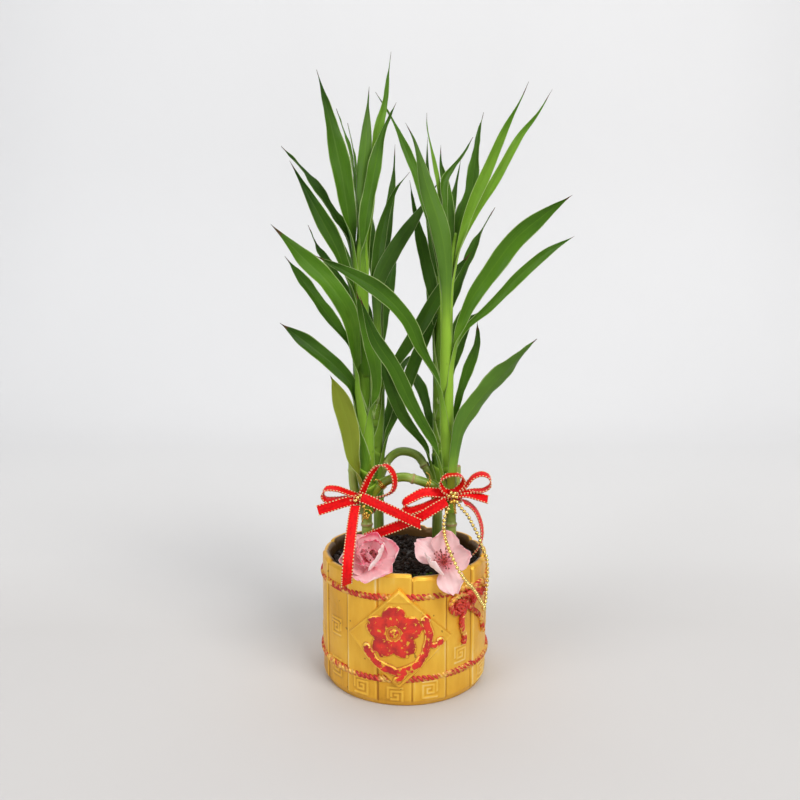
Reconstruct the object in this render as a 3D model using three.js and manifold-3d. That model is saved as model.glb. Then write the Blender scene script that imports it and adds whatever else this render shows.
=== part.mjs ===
// Lucky bamboo in a gold pot, tied with red ribbon bows. Millimetres, +Z up.
// The origin is the middle of the pot's base, and the front of the arrangement is -Y.
// Two bamboo plants stand in the soil. Each is one cane bent into an arch, with a leafy shoot
// growing from both of its shoulders.
import * as THREE from 'three'
import { mergeVertices } from 'three/addons/utils/BufferGeometryUtils.js'
import Module from 'manifold-3d'

const wasm = await Module()
wasm.setup()

// ---- driving dimensions ----

const GAP = 0.3 // clearance between pieces that touch in the real thing

const POT = { radius: 50, height: 74.4, wall: 4.6, floor: 6, foot: 46.8 }
const SLIPS = { count: 16, turn: 4.5, groove: 0.8, step: 0.25 } // bamboo slips round the pot; turn in degrees
const SLIP_TOPS = [-1.1, 0.4, -0.5, 0.2, -1.4, 0.1, -0.7, 0.5, -0.2, -1.2, 0.3, -0.6, 0.4, -0.9, 0.2, 0.6]
const ROPE = { low: 16, high: 62, half: 2.1, rise: 1.3 } // two moulded ropes round the slips
const PLAQUE = { turn: -4, height: 39.3, halfTurn: 34.2, halfHeight: 28, rise: 2.1 }

const SOIL = { level: 68, lump: 1.2, rings: 3, sides: 22 }

const CANE = { radius: 3.2, nodeRise: 0.5, foot: 38, sides: 8 }
const ARCH_RADIUS = 2.7

const BLADE = { thick: 0.7, fold: 0.16, steps: 6 }
const RIBBON = { wide: 6, thick: 0.6 }
const CHAIN = { bead: 2, sides: 8 }
const WIRE = 0.55 // radius of the gold wire
const PETAL = { thick: 0.7, overlap: 1.3, along: 4, across: 2 } // each petal's one side lies over the next

// ---- finishes ----

function paint(color, roughness, metalness = 0) {
  return new THREE.MeshStandardMaterial({ color, roughness, metalness })
}

const GOLD_PAINT = paint(0xd9a63a, 0.42, 0.3)
const SOIL_BLACK = paint(0x1d1712, 0.9)
const LEAF_GREEN = paint(0x4f8a34, 0.42)
const LEAF_DARK = paint(0x2f6128, 0.45)
const RED_SATIN = paint(0xd51a20, 0.38)
const GOLD_WIRE = paint(0xe0b441, 0.25, 1)
const PINK = paint(0xf0a9b8, 0.6)
const PALE_PINK = paint(0xf3cbd2, 0.6)
const STAMEN_RED = paint(0x8a3a3a, 0.6)

// ---- small tools ----

const vec = (p) => new THREE.Vector3(p[0], p[1], p[2])
const radians = THREE.MathUtils.degToRad
const curveThrough = (points) => new THREE.CatmullRomCurve3(points.map(vec), false, 'centripetal')

/** A steady value between rows of [position, value]. */
function along(rows, at) {
  const last = rows.length - 1
  if (at <= rows[0][0]) return rows[0][1]
  for (let i = 0; i < last; i++) {
    const [a, from] = rows[i]
    const [b, to] = rows[i + 1]
    if (at <= b) return from + ((to - from) * (at - a)) / (b - a)
  }
  return rows[last][1]
}

/** A repeatable number from -1 to 1 for each whole number. */
function noise(seed) {
  const wave = Math.sin(seed * 12.9898) * 43758.5453
  return 2 * (wave - Math.floor(wave)) - 1
}

/** A closed geometry from points and triangles, turned inside out if its faces point inwards. */
function closed(points, triangles) {
  let volume = 0
  for (const [a, b, c] of triangles) {
    volume += points[a].dot(new THREE.Vector3().crossVectors(points[b], points[c]))
  }
  const order = volume < 0 ? triangles.map(([a, b, c]) => [a, c, b]) : triangles
  const geometry = new THREE.BufferGeometry()
  const numbers = points.flatMap((p) => [p.x, p.y, p.z])
  geometry.setAttribute('position', new THREE.Float32BufferAttribute(numbers, 3))
  geometry.setIndex(order.flat())
  return geometry
}

/** A body skinned over rings of points, closed by a fan at both ends. */
function skin(rings) {
  const sides = rings[0].length
  const points = rings.flat()
  const triangles = []
  const at = (ring, side) => ring * sides + (side % sides)
  for (let i = 0; i < rings.length - 1; i++) {
    for (let j = 0; j < sides; j++) {
      triangles.push([at(i, j), at(i, j + 1), at(i + 1, j + 1)], [at(i, j), at(i + 1, j + 1), at(i + 1, j)])
    }
  }
  for (const end of [0, rings.length - 1]) {
    const middle = new THREE.Vector3()
    rings[end].forEach((p) => middle.addScaledVector(p, 1 / sides))
    points.push(middle)
    for (let j = 0; j < sides; j++) {
      const fan = [points.length - 1, at(end, j + 1), at(end, j)]
      triangles.push(end === 0 ? fan : [fan[0], fan[2], fan[1]])
    }
  }
  return closed(points, triangles)
}

const evenStations = (steps) => Array.from({ length: steps + 1 }, (_, i) => i / steps)

/** A round bar along a curve. The radius, and the stations that get a ring, go by the share of the way. */
function bar(curve, radiusAt, stations, sides) {
  const fine = 400
  const frames = curve.computeFrenetFrames(fine, false)
  const rings = stations.map((u) => {
    const middle = curve.getPointAt(u)
    const i = Math.round(u * fine)
    return Array.from({ length: sides }, (_, j) => {
      const turn = (2 * Math.PI * j) / sides
      const p = middle.clone().addScaledVector(frames.normals[i], radiusAt(u) * Math.cos(turn))
      return p.addScaledVector(frames.binormals[i], radiusAt(u) * Math.sin(turn))
    })
  })
  return skin(rings)
}

/** A thin body between two sheets, split into triangles alike on both of them. */
function slab(top, under, steps, across) {
  const points = []
  const triangles = []
  for (const sheet of [top, under]) {
    for (let i = 0; i <= steps; i++) {
      for (let j = 0; j <= across; j++) points.push(sheet(i / steps, j / across))
    }
  }
  const half = points.length / 2
  const at = (i, j) => i * (across + 1) + j
  for (let i = 0; i < steps; i++) {
    for (let j = 0; j < across; j++) {
      const [a, b, c, d] = [at(i, j), at(i, j + 1), at(i + 1, j + 1), at(i + 1, j)]
      triangles.push([a, b, c], [a, c, d])
      triangles.push([half + a, half + c, half + b], [half + a, half + d, half + c])
    }
  }
  const edge = []
  for (let j = 0; j < across; j++) edge.push(at(0, j))
  for (let i = 0; i < steps; i++) edge.push(at(i, across))
  for (let j = across; j > 0; j--) edge.push(at(steps, j))
  for (let i = steps; i > 0; i--) edge.push(at(i, 0))
  edge.forEach((a, k) => {
    const b = edge[(k + 1) % edge.length]
    triangles.push([b, a, half + a], [b, half + a, half + b])
  })
  return closed(points, triangles)
}

// ---- joining and cutting ----

function toSolid(geometry) {
  const bare = geometry.clone()
  for (const name of Object.keys(bare.attributes)) {
    if (name !== 'position') bare.deleteAttribute(name)
  }
  const merged = mergeVertices(bare, 1e-4)
  const vertProperties = new Float32Array(merged.attributes.position.array)
  const triVerts = new Uint32Array(merged.index.array)
  return new wasm.Manifold(new wasm.Mesh({ numProp: 3, vertProperties, triVerts }))
}

function toGeometry(solid) {
  const mesh = solid.getMesh()
  const geometry = new THREE.BufferGeometry()
  geometry.setAttribute('position', new THREE.BufferAttribute(new Float32Array(mesh.vertProperties), 3))
  geometry.setIndex(new THREE.BufferAttribute(new Uint32Array(mesh.triVerts), 1))
  return geometry
}

const fused = (pieces) => toGeometry(pieces.map(toSolid).reduce((body, piece) => body.add(piece)))
const cutBy = (piece, tools) =>
  toGeometry(tools.map(toSolid).reduce((body, tool) => body.subtract(tool), toSolid(piece)))

const group = new THREE.Group()

function place(name, geometry, material) {
  const mesh = new THREE.Mesh(geometry, material)
  mesh.name = name
  group.add(mesh)
}

// ---- the pot: one casting that looks like bamboo slips bound with rope ----

/** A point on a circle round the pot; the turn is in degrees from the front, to the right. */
function roundPot(turn, height, radius) {
  return new THREE.Vector3(radius * Math.sin(radians(turn)), -radius * Math.cos(radians(turn)), height)
}

const SLIP_TURN = 360 / SLIPS.count
const SLIP_COLUMNS = [0, 0.07, 0.93] // the groove, then the two edges of the slip's flat face

/** The columns of the wall: where each stands, and which slip it belongs to. */
const potColumns = []
for (let slip = 0; slip < SLIPS.count; slip++) {
  for (const share of SLIP_COLUMNS) {
    potColumns.push({ turn: SLIPS.turn + (slip + share) * SLIP_TURN, slip, groove: share === 0 })
  }
}

function slipTop(column) {
  const own = SLIP_TOPS[column.slip]
  const before = SLIP_TOPS[(column.slip + SLIPS.count - 1) % SLIPS.count]
  return POT.height + (column.groove ? Math.min(own, before) - 0.5 : own)
}

function slipRadius(column) {
  if (column.groove) return POT.radius - SLIPS.groove
  return POT.radius + (column.slip % 2 === 0 ? SLIPS.step : -SLIPS.step)
}

const ringAt = (height, radius) => potColumns.map((column) => roundPot(column.turn, height, radius))
const wallRing = (height) => potColumns.map((column) => roundPot(column.turn, height, slipRadius(column)))
const ropeRings = (height) => [
  wallRing(height - ROPE.half),
  ringAt(height - ROPE.half / 2, POT.radius + ROPE.rise),
  ringAt(height + ROPE.half / 2, POT.radius + ROPE.rise),
  wallRing(height + ROPE.half),
]
const rimRing = (inset, below) =>
  potColumns.map((column) => roundPot(column.turn, slipTop(column) - below, slipRadius(column) - inset))

function potShell() {
  const inside = POT.radius - POT.wall
  return skin([
    ringAt(0, POT.foot),
    ringAt(0.8, POT.foot + 2),
    wallRing(3),
    ...ropeRings(ROPE.low),
    ...ropeRings(ROPE.high),
    rimRing(0, 1.2),
    rimRing(1.1, 0),
    rimRing(3.2, 0.2),
    ringAt(POT.height - 4, inside),
    ringAt(POT.floor, inside),
  ])
}

/** The diamond plaque that lies over the slips and both ropes. */
function plaque() {
  const sheet = (radius) => (u, v) =>
    roundPot(PLAQUE.turn + (u - v) * PLAQUE.halfTurn, PLAQUE.height + (u + v - 1) * PLAQUE.halfHeight, radius)
  const face = sheet(POT.radius + PLAQUE.rise)
  const curled = (u, v) => face(u, v).multiply(new THREE.Vector3(...curl(u, v)))
  return slab(curled, sheet(POT.radius - 1.5), 6, 6)
}

/** The plaque's top corner curls a little forward. */
function curl(u, v) {
  const lift = 1 + 0.022 * THREE.MathUtils.smoothstep(u + v, 1.5, 2)
  return [lift, lift, 1]
}

/** A low rounded boss on the pot, sized along and across a tilted axis. */
function boss(turn, height, long, wide, tilt, rise, base) {
  const sides = 8
  const ring = (share, radius) => {
    const points = []
    for (let j = 0; j < sides; j++) {
      const angle = (2 * Math.PI * j) / sides
      const x = (long * share * Math.cos(angle)) / 2
      const y = (wide * share * Math.sin(angle)) / 2
      const right = x * Math.cos(radians(tilt)) - y * Math.sin(radians(tilt))
      const up = x * Math.sin(radians(tilt)) + y * Math.cos(radians(tilt))
      points.push(roundPot(turn + THREE.MathUtils.radToDeg(right / POT.radius), height + up, radius))
    }
    return points
  }
  return skin([ring(1, base - 0.8), ring(0.95, base + rise * 0.6), ring(0.6, base + rise)])
}

/** A raised stroke on the pot through points of [turn, height]. */
function stroke(points, radius, base, steps) {
  const curve = new THREE.CatmullRomCurve3(points.map(([turn, height]) => roundPot(turn, height, base)))
  return bar(curve, () => radius, evenStations(steps), 5)
}

const EMBLEM = { turn: -6, height: 42, petal: 10.5, spread: 7.6, rise: 1.3 }

/** The red ornament on the plaque: a plum blossom with buds on a short bent branch. */
function emblem() {
  const face = POT.radius + PLAQUE.rise
  const pieces = []
  for (let k = 0; k < 5; k++) {
    const tilt = 90 + 72 * k
    const right = EMBLEM.spread * Math.cos(radians(tilt))
    const up = EMBLEM.spread * Math.sin(radians(tilt))
    const turn = EMBLEM.turn + THREE.MathUtils.radToDeg(right / POT.radius)
    pieces.push(boss(turn, EMBLEM.height + up, EMBLEM.petal, EMBLEM.petal * 0.92, tilt, EMBLEM.rise, face))
  }
  pieces.push(boss(EMBLEM.turn, EMBLEM.height, 5, 5, 0, EMBLEM.rise + 0.7, face))
  pieces.push(stroke([[-20, 21], [-12, 25], [-2, 25.8], [8, 30], [13, 39], [14, 49]], 1.6, face, 8))
  pieces.push(boss(13.6, 51, 6.4, 5, 80, EMBLEM.rise, face))
  pieces.push(boss(-21.5, 19.5, 4.4, 3.4, 30, EMBLEM.rise, face))
  return pieces
}

/** The rope's bow at the right of the plaque: a knot, two loops and two tails. */
function ropeBow() {
  const base = POT.radius + 0.5
  return [
    boss(45.5, 58.5, 9, 7, 0, 2.2, base),
    stroke([[44, 59], [36, 60.5], [32, 56], [36, 52.5], [43, 57]], 1.5, base, 8),
    stroke([[47, 59], [55, 62], [61, 57.5], [57, 52], [48, 57]], 1.5, base, 8),
    stroke([[44.5, 57], [40.5, 49], [42.5, 40], [40.5, 31.5]], 1.5, base, 4),
    stroke([[46, 57], [50, 51], [56, 47], [60, 39]], 1.4, base, 3),
  ]
}

// where the small relief panels sit: turn and height
const FRETS = [
  [-29.3, 8.4], [15.8, 8.4], [38.3, 27], [-51.8, 40], [105.8, 40], [150.8, 27], [195.8, 40], [240.8, 27],
]
const FRET_BARS = [[8, 1.2, 0, 2.4], [6, 1.2, 1, -2.4]] // each bar's width, height and place

/** Small raised bars on some slips, in the manner of a fret pattern. */
function frets() {
  const pieces = []
  for (const [turn, height] of FRETS) {
    for (const [wide, tall, right, up] of FRET_BARS) {
      const box = new THREE.BoxGeometry(wide, 2, tall)
      box.translate(right, 0.2 - POT.radius, up + height)
      box.rotateZ(radians(turn))
      pieces.push(box)
    }
  }
  return pieces
}

place('pot', fused([potShell(), plaque(), ...emblem(), ...ropeBow(), ...frets()]), GOLD_PAINT)

// ---- the plants ----

const PLANTS = {
  front: {
    material: LEAF_GREEN,
    cane: [
      [-22.2, -13, CANE.foot], [-22.2, -13, 82], [-22.3, -13, 101], [-19.8, -13, 109.5],
      [-12.3, -13.5, 117.8],
      [-5.8, -14, 120.5], [0, -14, 121.1], [4.7, -14, 120.1], [15.1, -14, 116.4], [20.7, -13.5, 111.9],
      [26.2, -13, 103], [27.3, -13, 93.2], [26.8, -13, 75], [26.8, -13, CANE.foot],
    ],
    nodes: [0.14, 0.28, 0.518, 0.72, 0.86],
    stubs: [
      { way: [[-22.2, -13, 98], [-27.2, -12, 106], [-30.3, -11, 116], [-30.6, -10.6, 134]], radius: 2.8 },
      { way: [[27.2, -13, 98], [28.6, -9.6, 108], [30.6, -7.6, 118], [30.9, -7.2, 127]], radius: 2.6 },
    ],
    shoots: [
      {
        axis: [
          [-22, -13, 100], [-22, -13.5, 125], [-24, -14, 167], [-25.6, -14, 207], [-25, -14, 247],
          [-24, -13, 292],
        ],
        girth: [[100, 3.4], [118, 5], [167, 5.2], [207, 5], [247, 4.4], [280, 2.4], [292, 0.8]],
        leaves: [
          { at: 240, wide: 6.4, face: -60,
            way: [[-19.5, -9, 282], [-16, -7, 318], [-12, -4, 335], [-10, -1, 351], [-8, 2, 367]] },
          { at: 236, wide: 12.4, face: -75,
            way: [[-34, -18, 285], [-39, -20, 311], [-44, -22, 332], [-48, -24, 347]] },
          { at: 252, wide: 5, face: -20, way: [[-29.5, -5, 296], [-33, -1, 314], [-40, 4, 336]] },
          { at: 256, wide: 3.4, face: 10, way: [[-28.4, 1, 292], [-30, 6, 310], [-34, 11, 330]] },
          { at: 250, wide: 8.4, face: 85,
            way: [[-24, -17.5, 288], [-22, -18, 308], [-21, -17, 325], [-20, -16, 341]] },
          { at: 228, wide: 9, face: -108,
            way: [[-22, -21.5, 266], [-17.8, -22, 290], [-12.6, -19.5, 314], [-5, -15, 333]] },
          { at: 232, wide: 8, face: -40,
            way: [[-34, -11, 262], [-43, -10, 276], [-55, -8, 294], [-71, -6, 312]] },
          { at: 214, wide: 10.6, face: -70,
            way: [[-37, -21, 249], [-47, -25, 269], [-56, -28, 286], [-62, -32, 297]] },
          { at: 160, wide: 12, face: -80,
            way: [[-31, -22, 213], [-42, -25, 232], [-56, -29, 246], [-72, -36, 263]] },
          { at: 170, wide: 8.6, face: -60,
            way: [[-31, -10, 196], [-40, -10, 209], [-54, -8, 228], [-70, -6, 250]] },
          { at: 196, wide: 8.4, face: -50,
            way: [[-32, -4, 221], [-43, 0, 242], [-51, 4, 254], [-58, 8, 270]] },
          { at: 148, wide: 10.4, face: -80,
            way: [[-30.5, -15.5, 174], [-39, -16, 185], [-53, -18, 197], [-71, -20, 211]] },
          { at: 105, wide: 12.4, face: -85,
            way: [[-30, -20, 132], [-31.5, -22, 149], [-36, -26, 166], [-40, -30, 178], [-41.5, -32, 182]] },
          { at: 148, wide: 8.6, face: -100,
            way: [[-16, -22, 172], [-16.5, -24.5, 186], [-20.5, -26, 205], [-27, -28, 228]] },
        ],
      },
      {
        axis: [
          [26.9, -13, 100], [26, -13.5, 125], [24, -14, 167], [24, -14, 207], [24.4, -14, 235],
          [29, -12.5, 262],
        ],
        girth: [[100, 3.2], [118, 4.6], [167, 4.2], [207, 3.7], [235, 3.1], [262, 1]],
        leaves: [
          { at: 218, wide: 6.6, face: -75,
            way: [[15, -11, 266], [9, -10, 287], [2, -7, 306], [-6, -3, 325], [-17, 0, 344]] },
          { at: 200, wide: 11.6, face: 100,
            way: [[23, -20, 241], [20, -22, 261], [12, -24, 285], [5, -26, 309], [0, -28, 318]] },
          { at: 226, wide: 3.4, face: -60, way: [[20, -4, 285], [17, 1, 305], [13, 5, 326], [13, 8, 335]] },
          { at: 222, wide: 8, face: -90, way: [[25, -7, 272], [23.5, -4, 290], [21, 0, 303], [21, 3, 315]] },
          { at: 228, wide: 6.4, face: -50,
            way: [[21.5, -15.5, 276], [21.5, -14, 290], [27, -11, 299], [33, -8, 307], [39, -6, 317]] },
          { at: 232, wide: 8.4, face: -120,
            way: [[31, -7.5, 268], [38, -4, 286], [41, -2, 308], [43, 1, 321], [46, 4, 334]] },
          { at: 226, wide: 7, face: -80,
            way: [[35, -16, 270], [46, -17, 296], [55, -17, 317], [64, -18, 334], [68, -18, 343]] },
          { at: 234, wide: 6.2, face: -70,
            way: [[40, -9, 273], [53, -6, 295], [66, -2, 318], [77, 1, 332], [86, 4, 347]] },
          { at: 176, wide: 12, face: -75,
            way: [[35, -20, 219], [48, -23, 240], [61, -25, 257], [78, -26, 271], [91, -28, 280]] },
          { at: 180, wide: 7.6, face: -60,
            way: [[35, -7, 207], [50, -2, 221], [68, 3, 239], [86, 7, 254], [103, 12, 264]] },
          { at: 114, wide: 12.6, face: 105,
            way: [
              [28.4, -21.4, 136], [32.6, -23.8, 153.4], [39, -26, 164.6],
              [50, -31, 178.7], [58.7, -36, 188.9], [70.5, -40, 202],
            ] },
          { at: 140, wide: 7.2, face: -70,
            way: [[31.5, -9, 168], [36, -6.5, 182], [42, -4, 198], [43, -2, 212]] },
          { at: 150, wide: 9.8, face: -80,
            way: [[17, -23, 180], [8, -28, 197], [1, -32, 212], [-15, -38, 228], [-47, -50, 245]] },
          { at: 114, wide: 8.8, face: -85,
            way: [
              [16, -21.5, 142], [8.1, -25, 157], [2.6, -28, 167], [-5.8, -32, 185],
              [-16.5, -36, 202], [-21.6, -39.5, 216], [-24.4, -42, 225],
            ] },
        ],
      },
    ],
  },
  back: {
    material: LEAF_DARK,
    cane: [
      [-16.2, 11, CANE.foot], [-16.2, 11, 82], [-16.3, 11, 103], [-15.2, 11, 116], [-11.6, 11, 124.4],
      [-7.5, 12, 129.4], [-2.9, 13, 131.6], [2.7, 13, 131.3], [8.4, 12, 128.8], [12.6, 11, 122.8],
      [17.4, 11, 114], [20.2, 11, 103], [20.5, 11, 82], [20.5, 11, CANE.foot],
    ],
    nodes: [0.17, 0.3, 0.425, 0.575, 0.72, 0.86],
    stubs: [],
    shoots: [
      {
        axis: [[-16.3, 11, 98], [-17.5, 11.5, 125], [-17, 12, 167], [-17, 13, 207], [-15.5, 14, 240]],
        girth: [[98, 3.2], [118, 4.4], [167, 4.4], [207, 3.6], [240, 1.2]],
        leaves: [
          { at: 190, wide: 8.4, face: -100,
            way: [[-17, 13, 240], [-13, 14, 271], [-6, 15, 291], [3, 16, 303]] },
          { at: 192, wide: 10, face: 85, way: [[-16, 8, 236], [-7, 4, 254], [7, 5, 275], [21, 5, 296]] },
          { at: 116, wide: 8.6, face: -85, way: [[-11, 8, 140], [-2, 7, 165], [9, 9, 195], [22, 12, 220]] },
          { at: 148, wide: 9.4, face: -80,
            way: [[-12, 9, 176], [-5, 7.5, 188], [7, 6.5, 206], [22, 6, 231], [40, 4, 254]] },
          { at: 140, wide: 10, face: -60,
            way: [[-20, 23, 168], [-26, 34, 192], [-34, 44, 214], [-42, 52, 222]] },
          { at: 168, wide: 10.4, face: -110,
            way: [[-15, 24, 200], [-12, 36, 226], [-8, 46, 246], [-5, 54, 256]] },
          { at: 184, wide: 9, face: -45,
            way: [[-24, 20, 218], [-34, 26, 246], [-44, 32, 268], [-52, 36, 282]] },
          { at: 200, wide: 8.4, face: -80,
            way: [[-18, 20, 238], [-22, 27, 268], [-26, 32, 292], [-30, 36, 312]] },
          { at: 120, wide: 9.6, face: -120,
            way: [[-11, 20, 146], [-6, 32, 168], [0, 42, 184], [6, 50, 192]] },
          { at: 204, wide: 7, face: -100,
            way: [[-13.5, 17, 244], [-10, 20, 276], [-7, 23, 300], [-6, 26, 322]] },
        ],
      },
      {
        axis: [[20.2, 11, 98], [21, 11.5, 125], [21.5, 12, 167], [21.5, 13, 207], [20, 14, 240]],
        girth: [[98, 3.2], [118, 4.4], [167, 4.2], [207, 3.4], [240, 1.2]],
        leaves: [
          { at: 110, wide: 8.4, face: -90, way: [[12, 7, 136], [-1, 4, 155], [-10, 1, 178], [-16, -1, 198]] },
          { at: 186, wide: 9, face: -85, way: [[17, 13, 228], [11, 13, 255], [6, 13, 278], [3, 12, 297]] },
          { at: 160, wide: 8, face: -95, way: [[27, 16, 190], [33, 19, 208], [40, 21, 222], [47, 23, 233]] },
          { at: 196, wide: 7, face: -110, way: [[26, 14, 232], [30.4, 16, 252], [35, 18, 268], [42, 20, 281]] },
          { at: 140, wide: 10.4, face: -120,
            way: [[27, 23, 170], [34, 34, 194], [42, 43, 212], [50, 50, 220]] },
          { at: 170, wide: 10, face: -75, way: [[20, 25, 204], [18, 38, 230], [15, 48, 250], [13, 56, 260]] },
          { at: 188, wide: 9.4, face: -130,
            way: [[29, 21, 222], [40, 27, 250], [50, 33, 272], [58, 37, 286]] },
          { at: 200, wide: 8, face: -100, way: [[23, 21, 240], [27, 28, 270], [32, 33, 296], [36, 38, 316]] },
          { at: 118, wide: 9.6, face: -60, way: [[17, 21, 144], [11, 33, 166], [5, 43, 180], [0, 52, 186]] },
          { at: 206, wide: 7, face: -85,
            way: [[18.5, 17, 246], [16, 20, 278], [14, 22, 304], [14, 25, 326]] },
        ],
      },
    ],
  },
}

// a blade's width along its way, as a share of its widest
const BLADE_OUTLINE = [
  [0, 0.55], [0.15, 0.6], [0.35, 0.88], [0.5, 1], [0.68, 0.86], [0.82, 0.55], [0.93, 0.25], [1, 0.1],
]

/** The frame of a blade at a share of its way: its middle, and its across and facing directions. */
function bladeFrame(curve, u, inward, facing) {
  const middle = curve.getPointAt(u)
  const tangent = curve.getTangentAt(u)
  const turned = THREE.MathUtils.smoothstep(u, 0.05, 0.4)
  const face = inward.clone().lerp(facing, turned)
  face.addScaledVector(tangent, -face.dot(tangent)).normalize()
  return { middle, face, side: new THREE.Vector3().crossVectors(tangent, face) }
}

/** One leaf: its foot sits inside the shoot, and its blade is folded a little along the midrib. */
function leaf(axis, row) {
  const foot = pointAtHeight(axis, row.at)
  const knee = pointAtHeight(axis, row.at + 12)
  const tip = vec(row.way[row.way.length - 1])
  const outward = vec(row.way[0]).sub(knee).setZ(0).normalize()
  knee.addScaledVector(outward, 1.5)
  const curve = new THREE.CatmullRomCurve3([foot, knee, ...row.way.map(vec)], false, 'centripetal')
  const inward = foot.clone().sub(tip).setZ(0).normalize()
  const facing = new THREE.Vector3(Math.cos(radians(row.face)), Math.sin(radians(row.face)), 0.25)
  const sheet = (side) => (u, v) => {
    const frame = bladeFrame(curve, u, inward, facing)
    const wide = row.wide * along(BLADE_OUTLINE, u)
    const fold = Math.abs(2 * v - 1) * wide * BLADE.fold
    frame.middle.addScaledVector(frame.side, (v - 0.5) * wide)
    return frame.middle.addScaledVector(frame.face, fold + (side * BLADE.thick) / 2)
  }
  return slab(sheet(1), sheet(-1), BLADE.steps, 2)
}

/** The point of a rising curve at a height, or its top. */
function pointAtHeight(curve, height) {
  const steps = 120
  for (let i = 0; i <= steps; i++) {
    const p = curve.getPoint(i / steps)
    if (p.z >= height) return p
  }
  return curve.getPoint(1)
}

/** A leafy shoot: the column of leaf sheaths, and its blades. */
function shoot(row) {
  const axis = curveThrough(row.axis)
  const girth = (u) => along(row.girth, axis.getPointAt(u).z)
  return [bar(axis, girth, evenStations(8), 7), ...row.leaves.map((blade) => leaf(axis, blade))]
}

/** The cane: thick in the legs, slimmer over the arch, with a raised ring at each node. */
function cane(plant) {
  const curve = curveThrough(plant.cane)
  const reach = 1.6 / curve.getLength()
  const shares = plant.nodes.flatMap((at) => [at - reach, at, at + reach])
  const clear = (u) => plant.nodes.every((at) => Math.abs(u - at) > 1.5 * reach)
  const stations = [...evenStations(24).filter(clear), ...shares]
  const girth = [[0.3, CANE.radius], [0.42, ARCH_RADIUS], [0.6, ARCH_RADIUS], [0.72, CANE.radius]]
  const plain = (u) => along(girth, u)
  const radius = (u) => plain(u) + (plant.nodes.includes(u) ? CANE.nodeRise : 0)
  return bar(curve, radius, stations.sort((p, q) => p - q), CANE.sides)
}

const stub = (row) => bar(curveThrough(row.way), () => row.radius, evenStations(5), CANE.sides)

for (const [name, plant] of Object.entries(PLANTS)) {
  const pieces = [cane(plant), ...plant.stubs.map(stub), ...plant.shoots.flatMap(shoot)]
  place(`plant_${name}`, fused(pieces), plant.material)
}

// ---- the blossoms: cloth plum blossoms, each on a short stem in the soil ----

const BLOSSOMS = {
  left: {
    middle: [-19.8, -40.4, 80], facing: [0.12, -0.66, 0.75], cupTop: 2.4, material: PINK,
    stem: [[-19.8, -40, 79], [-19.5, -35.6, 72], [-19.5, -34.5, 52]],
    layers: [
      { count: 6, turn: 20, long: 16, wide: 13, cup: 4.5, close: 0.2, lift: 0 },
      { count: 5, turn: 50, long: 11.5, wide: 10, cup: 6.5, close: 0.25, lift: 1.7 },
    ],
    stamens: { count: 8, long: 6.5, spread: 0.75 },
  },
  right: {
    middle: [21.5, -40, 79.4], facing: [-0.1, -0.72, 0.68], cupTop: 1.2, material: PALE_PINK,
    stem: [[21.5, -39.6, 78.8], [20, -34.6, 72], [19.5, -33.2, 52]],
    layers: [{ count: 5, turn: 0, long: 18, wide: 13, cup: 4, close: 0.22, lift: 0 }],
    stamens: { count: 8, long: 6.2, spread: 0.9 },
  },
}

const PETAL_OUTLINE = [[0, 0.16], [0.25, 0.56], [0.55, 1], [0.8, 0.94], [1, 0.5]]

/** Two directions square to a third, the first of them as level as can be. */
function crossDirections(facing) {
  const right = new THREE.Vector3(0, 0, 1).cross(facing).normalize()
  return [right, facing.clone().cross(right).normalize()]
}

/** One cupped petal, from the bloom's middle outwards. */
function petal(bloom, layer, index) {
  const facing = vec(bloom.facing).normalize()
  const [right, up] = crossDirections(facing)
  const turn = radians(layer.turn + (360 / layer.count) * index)
  const out = right.clone().multiplyScalar(Math.cos(turn)).addScaledVector(up, Math.sin(turn))
  const side = facing.clone().cross(out)
  const long = layer.long * (1 + 0.06 * noise(index + layer.long))
  const sheet = (skinSide) => (u, v) => {
    const wide = layer.wide * along(PETAL_OUTLINE, u)
    const w = 2 * v - 1
    const rise = layer.lift + layer.cup * u * u + layer.close * layer.wide * w * w * u + PETAL.overlap * w * u
    const p = vec(bloom.middle).addScaledVector(out, long * u * (1 - 0.08 * w * w * u))
    p.addScaledVector(side, (w * wide) / 2)
    return p.addScaledVector(facing, rise + (skinSide * PETAL.thick) / 2)
  }
  return slab(sheet(1), sheet(-1), PETAL.along, PETAL.across)
}

/** The small green cup behind the petals, which carries them. */
function bloomCup(bloom) {
  const facing = vec(bloom.facing).normalize()
  const top = vec(bloom.middle).addScaledVector(facing, bloom.cupTop)
  const foot = vec(bloom.middle).addScaledVector(facing, -3.4)
  return bar(new THREE.LineCurve3(foot, top), (u) => 1.4 + 1.8 * u, [0, 1], 7)
}

/** Thin stamens that fan out of a small dome. */
function stamens(bloom, seat) {
  const facing = vec(bloom.facing).normalize()
  const [right, up] = crossDirections(facing)
  const foot = vec(bloom.middle).addScaledVector(facing, seat)
  const dome = new THREE.LineCurve3(foot, foot.clone().addScaledVector(facing, 1.6))
  const pieces = [bar(dome, (u) => 1.7 - 0.6 * u, [0, 1], 6)]
  const { count, long, spread } = bloom.stamens
  for (let k = 0; k < count; k++) {
    const turn = (2 * Math.PI * k) / count
    const lean = spread * (k % 2 === 0 ? 1 : 0.55)
    const way = facing.clone().addScaledVector(right, lean * Math.cos(turn))
    way.addScaledVector(up, lean * Math.sin(turn))
    const from = foot.clone().addScaledVector(facing, 0.5)
    const to = from.clone().addScaledVector(way.normalize(), long * (1 + 0.12 * noise(k + 7)))
    pieces.push(bar(new THREE.LineCurve3(from, to), (u) => 0.4 + 0.1 * u, [0, 1], 3))
  }
  return pieces
}

const STAMEN_SEAT = { left: 3.1, right: 1.9 } // how far above the bloom's middle the stamens stand
const STEM_HOLE = 2.6 // radius of the hole that a blossom's stem stands in

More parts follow.
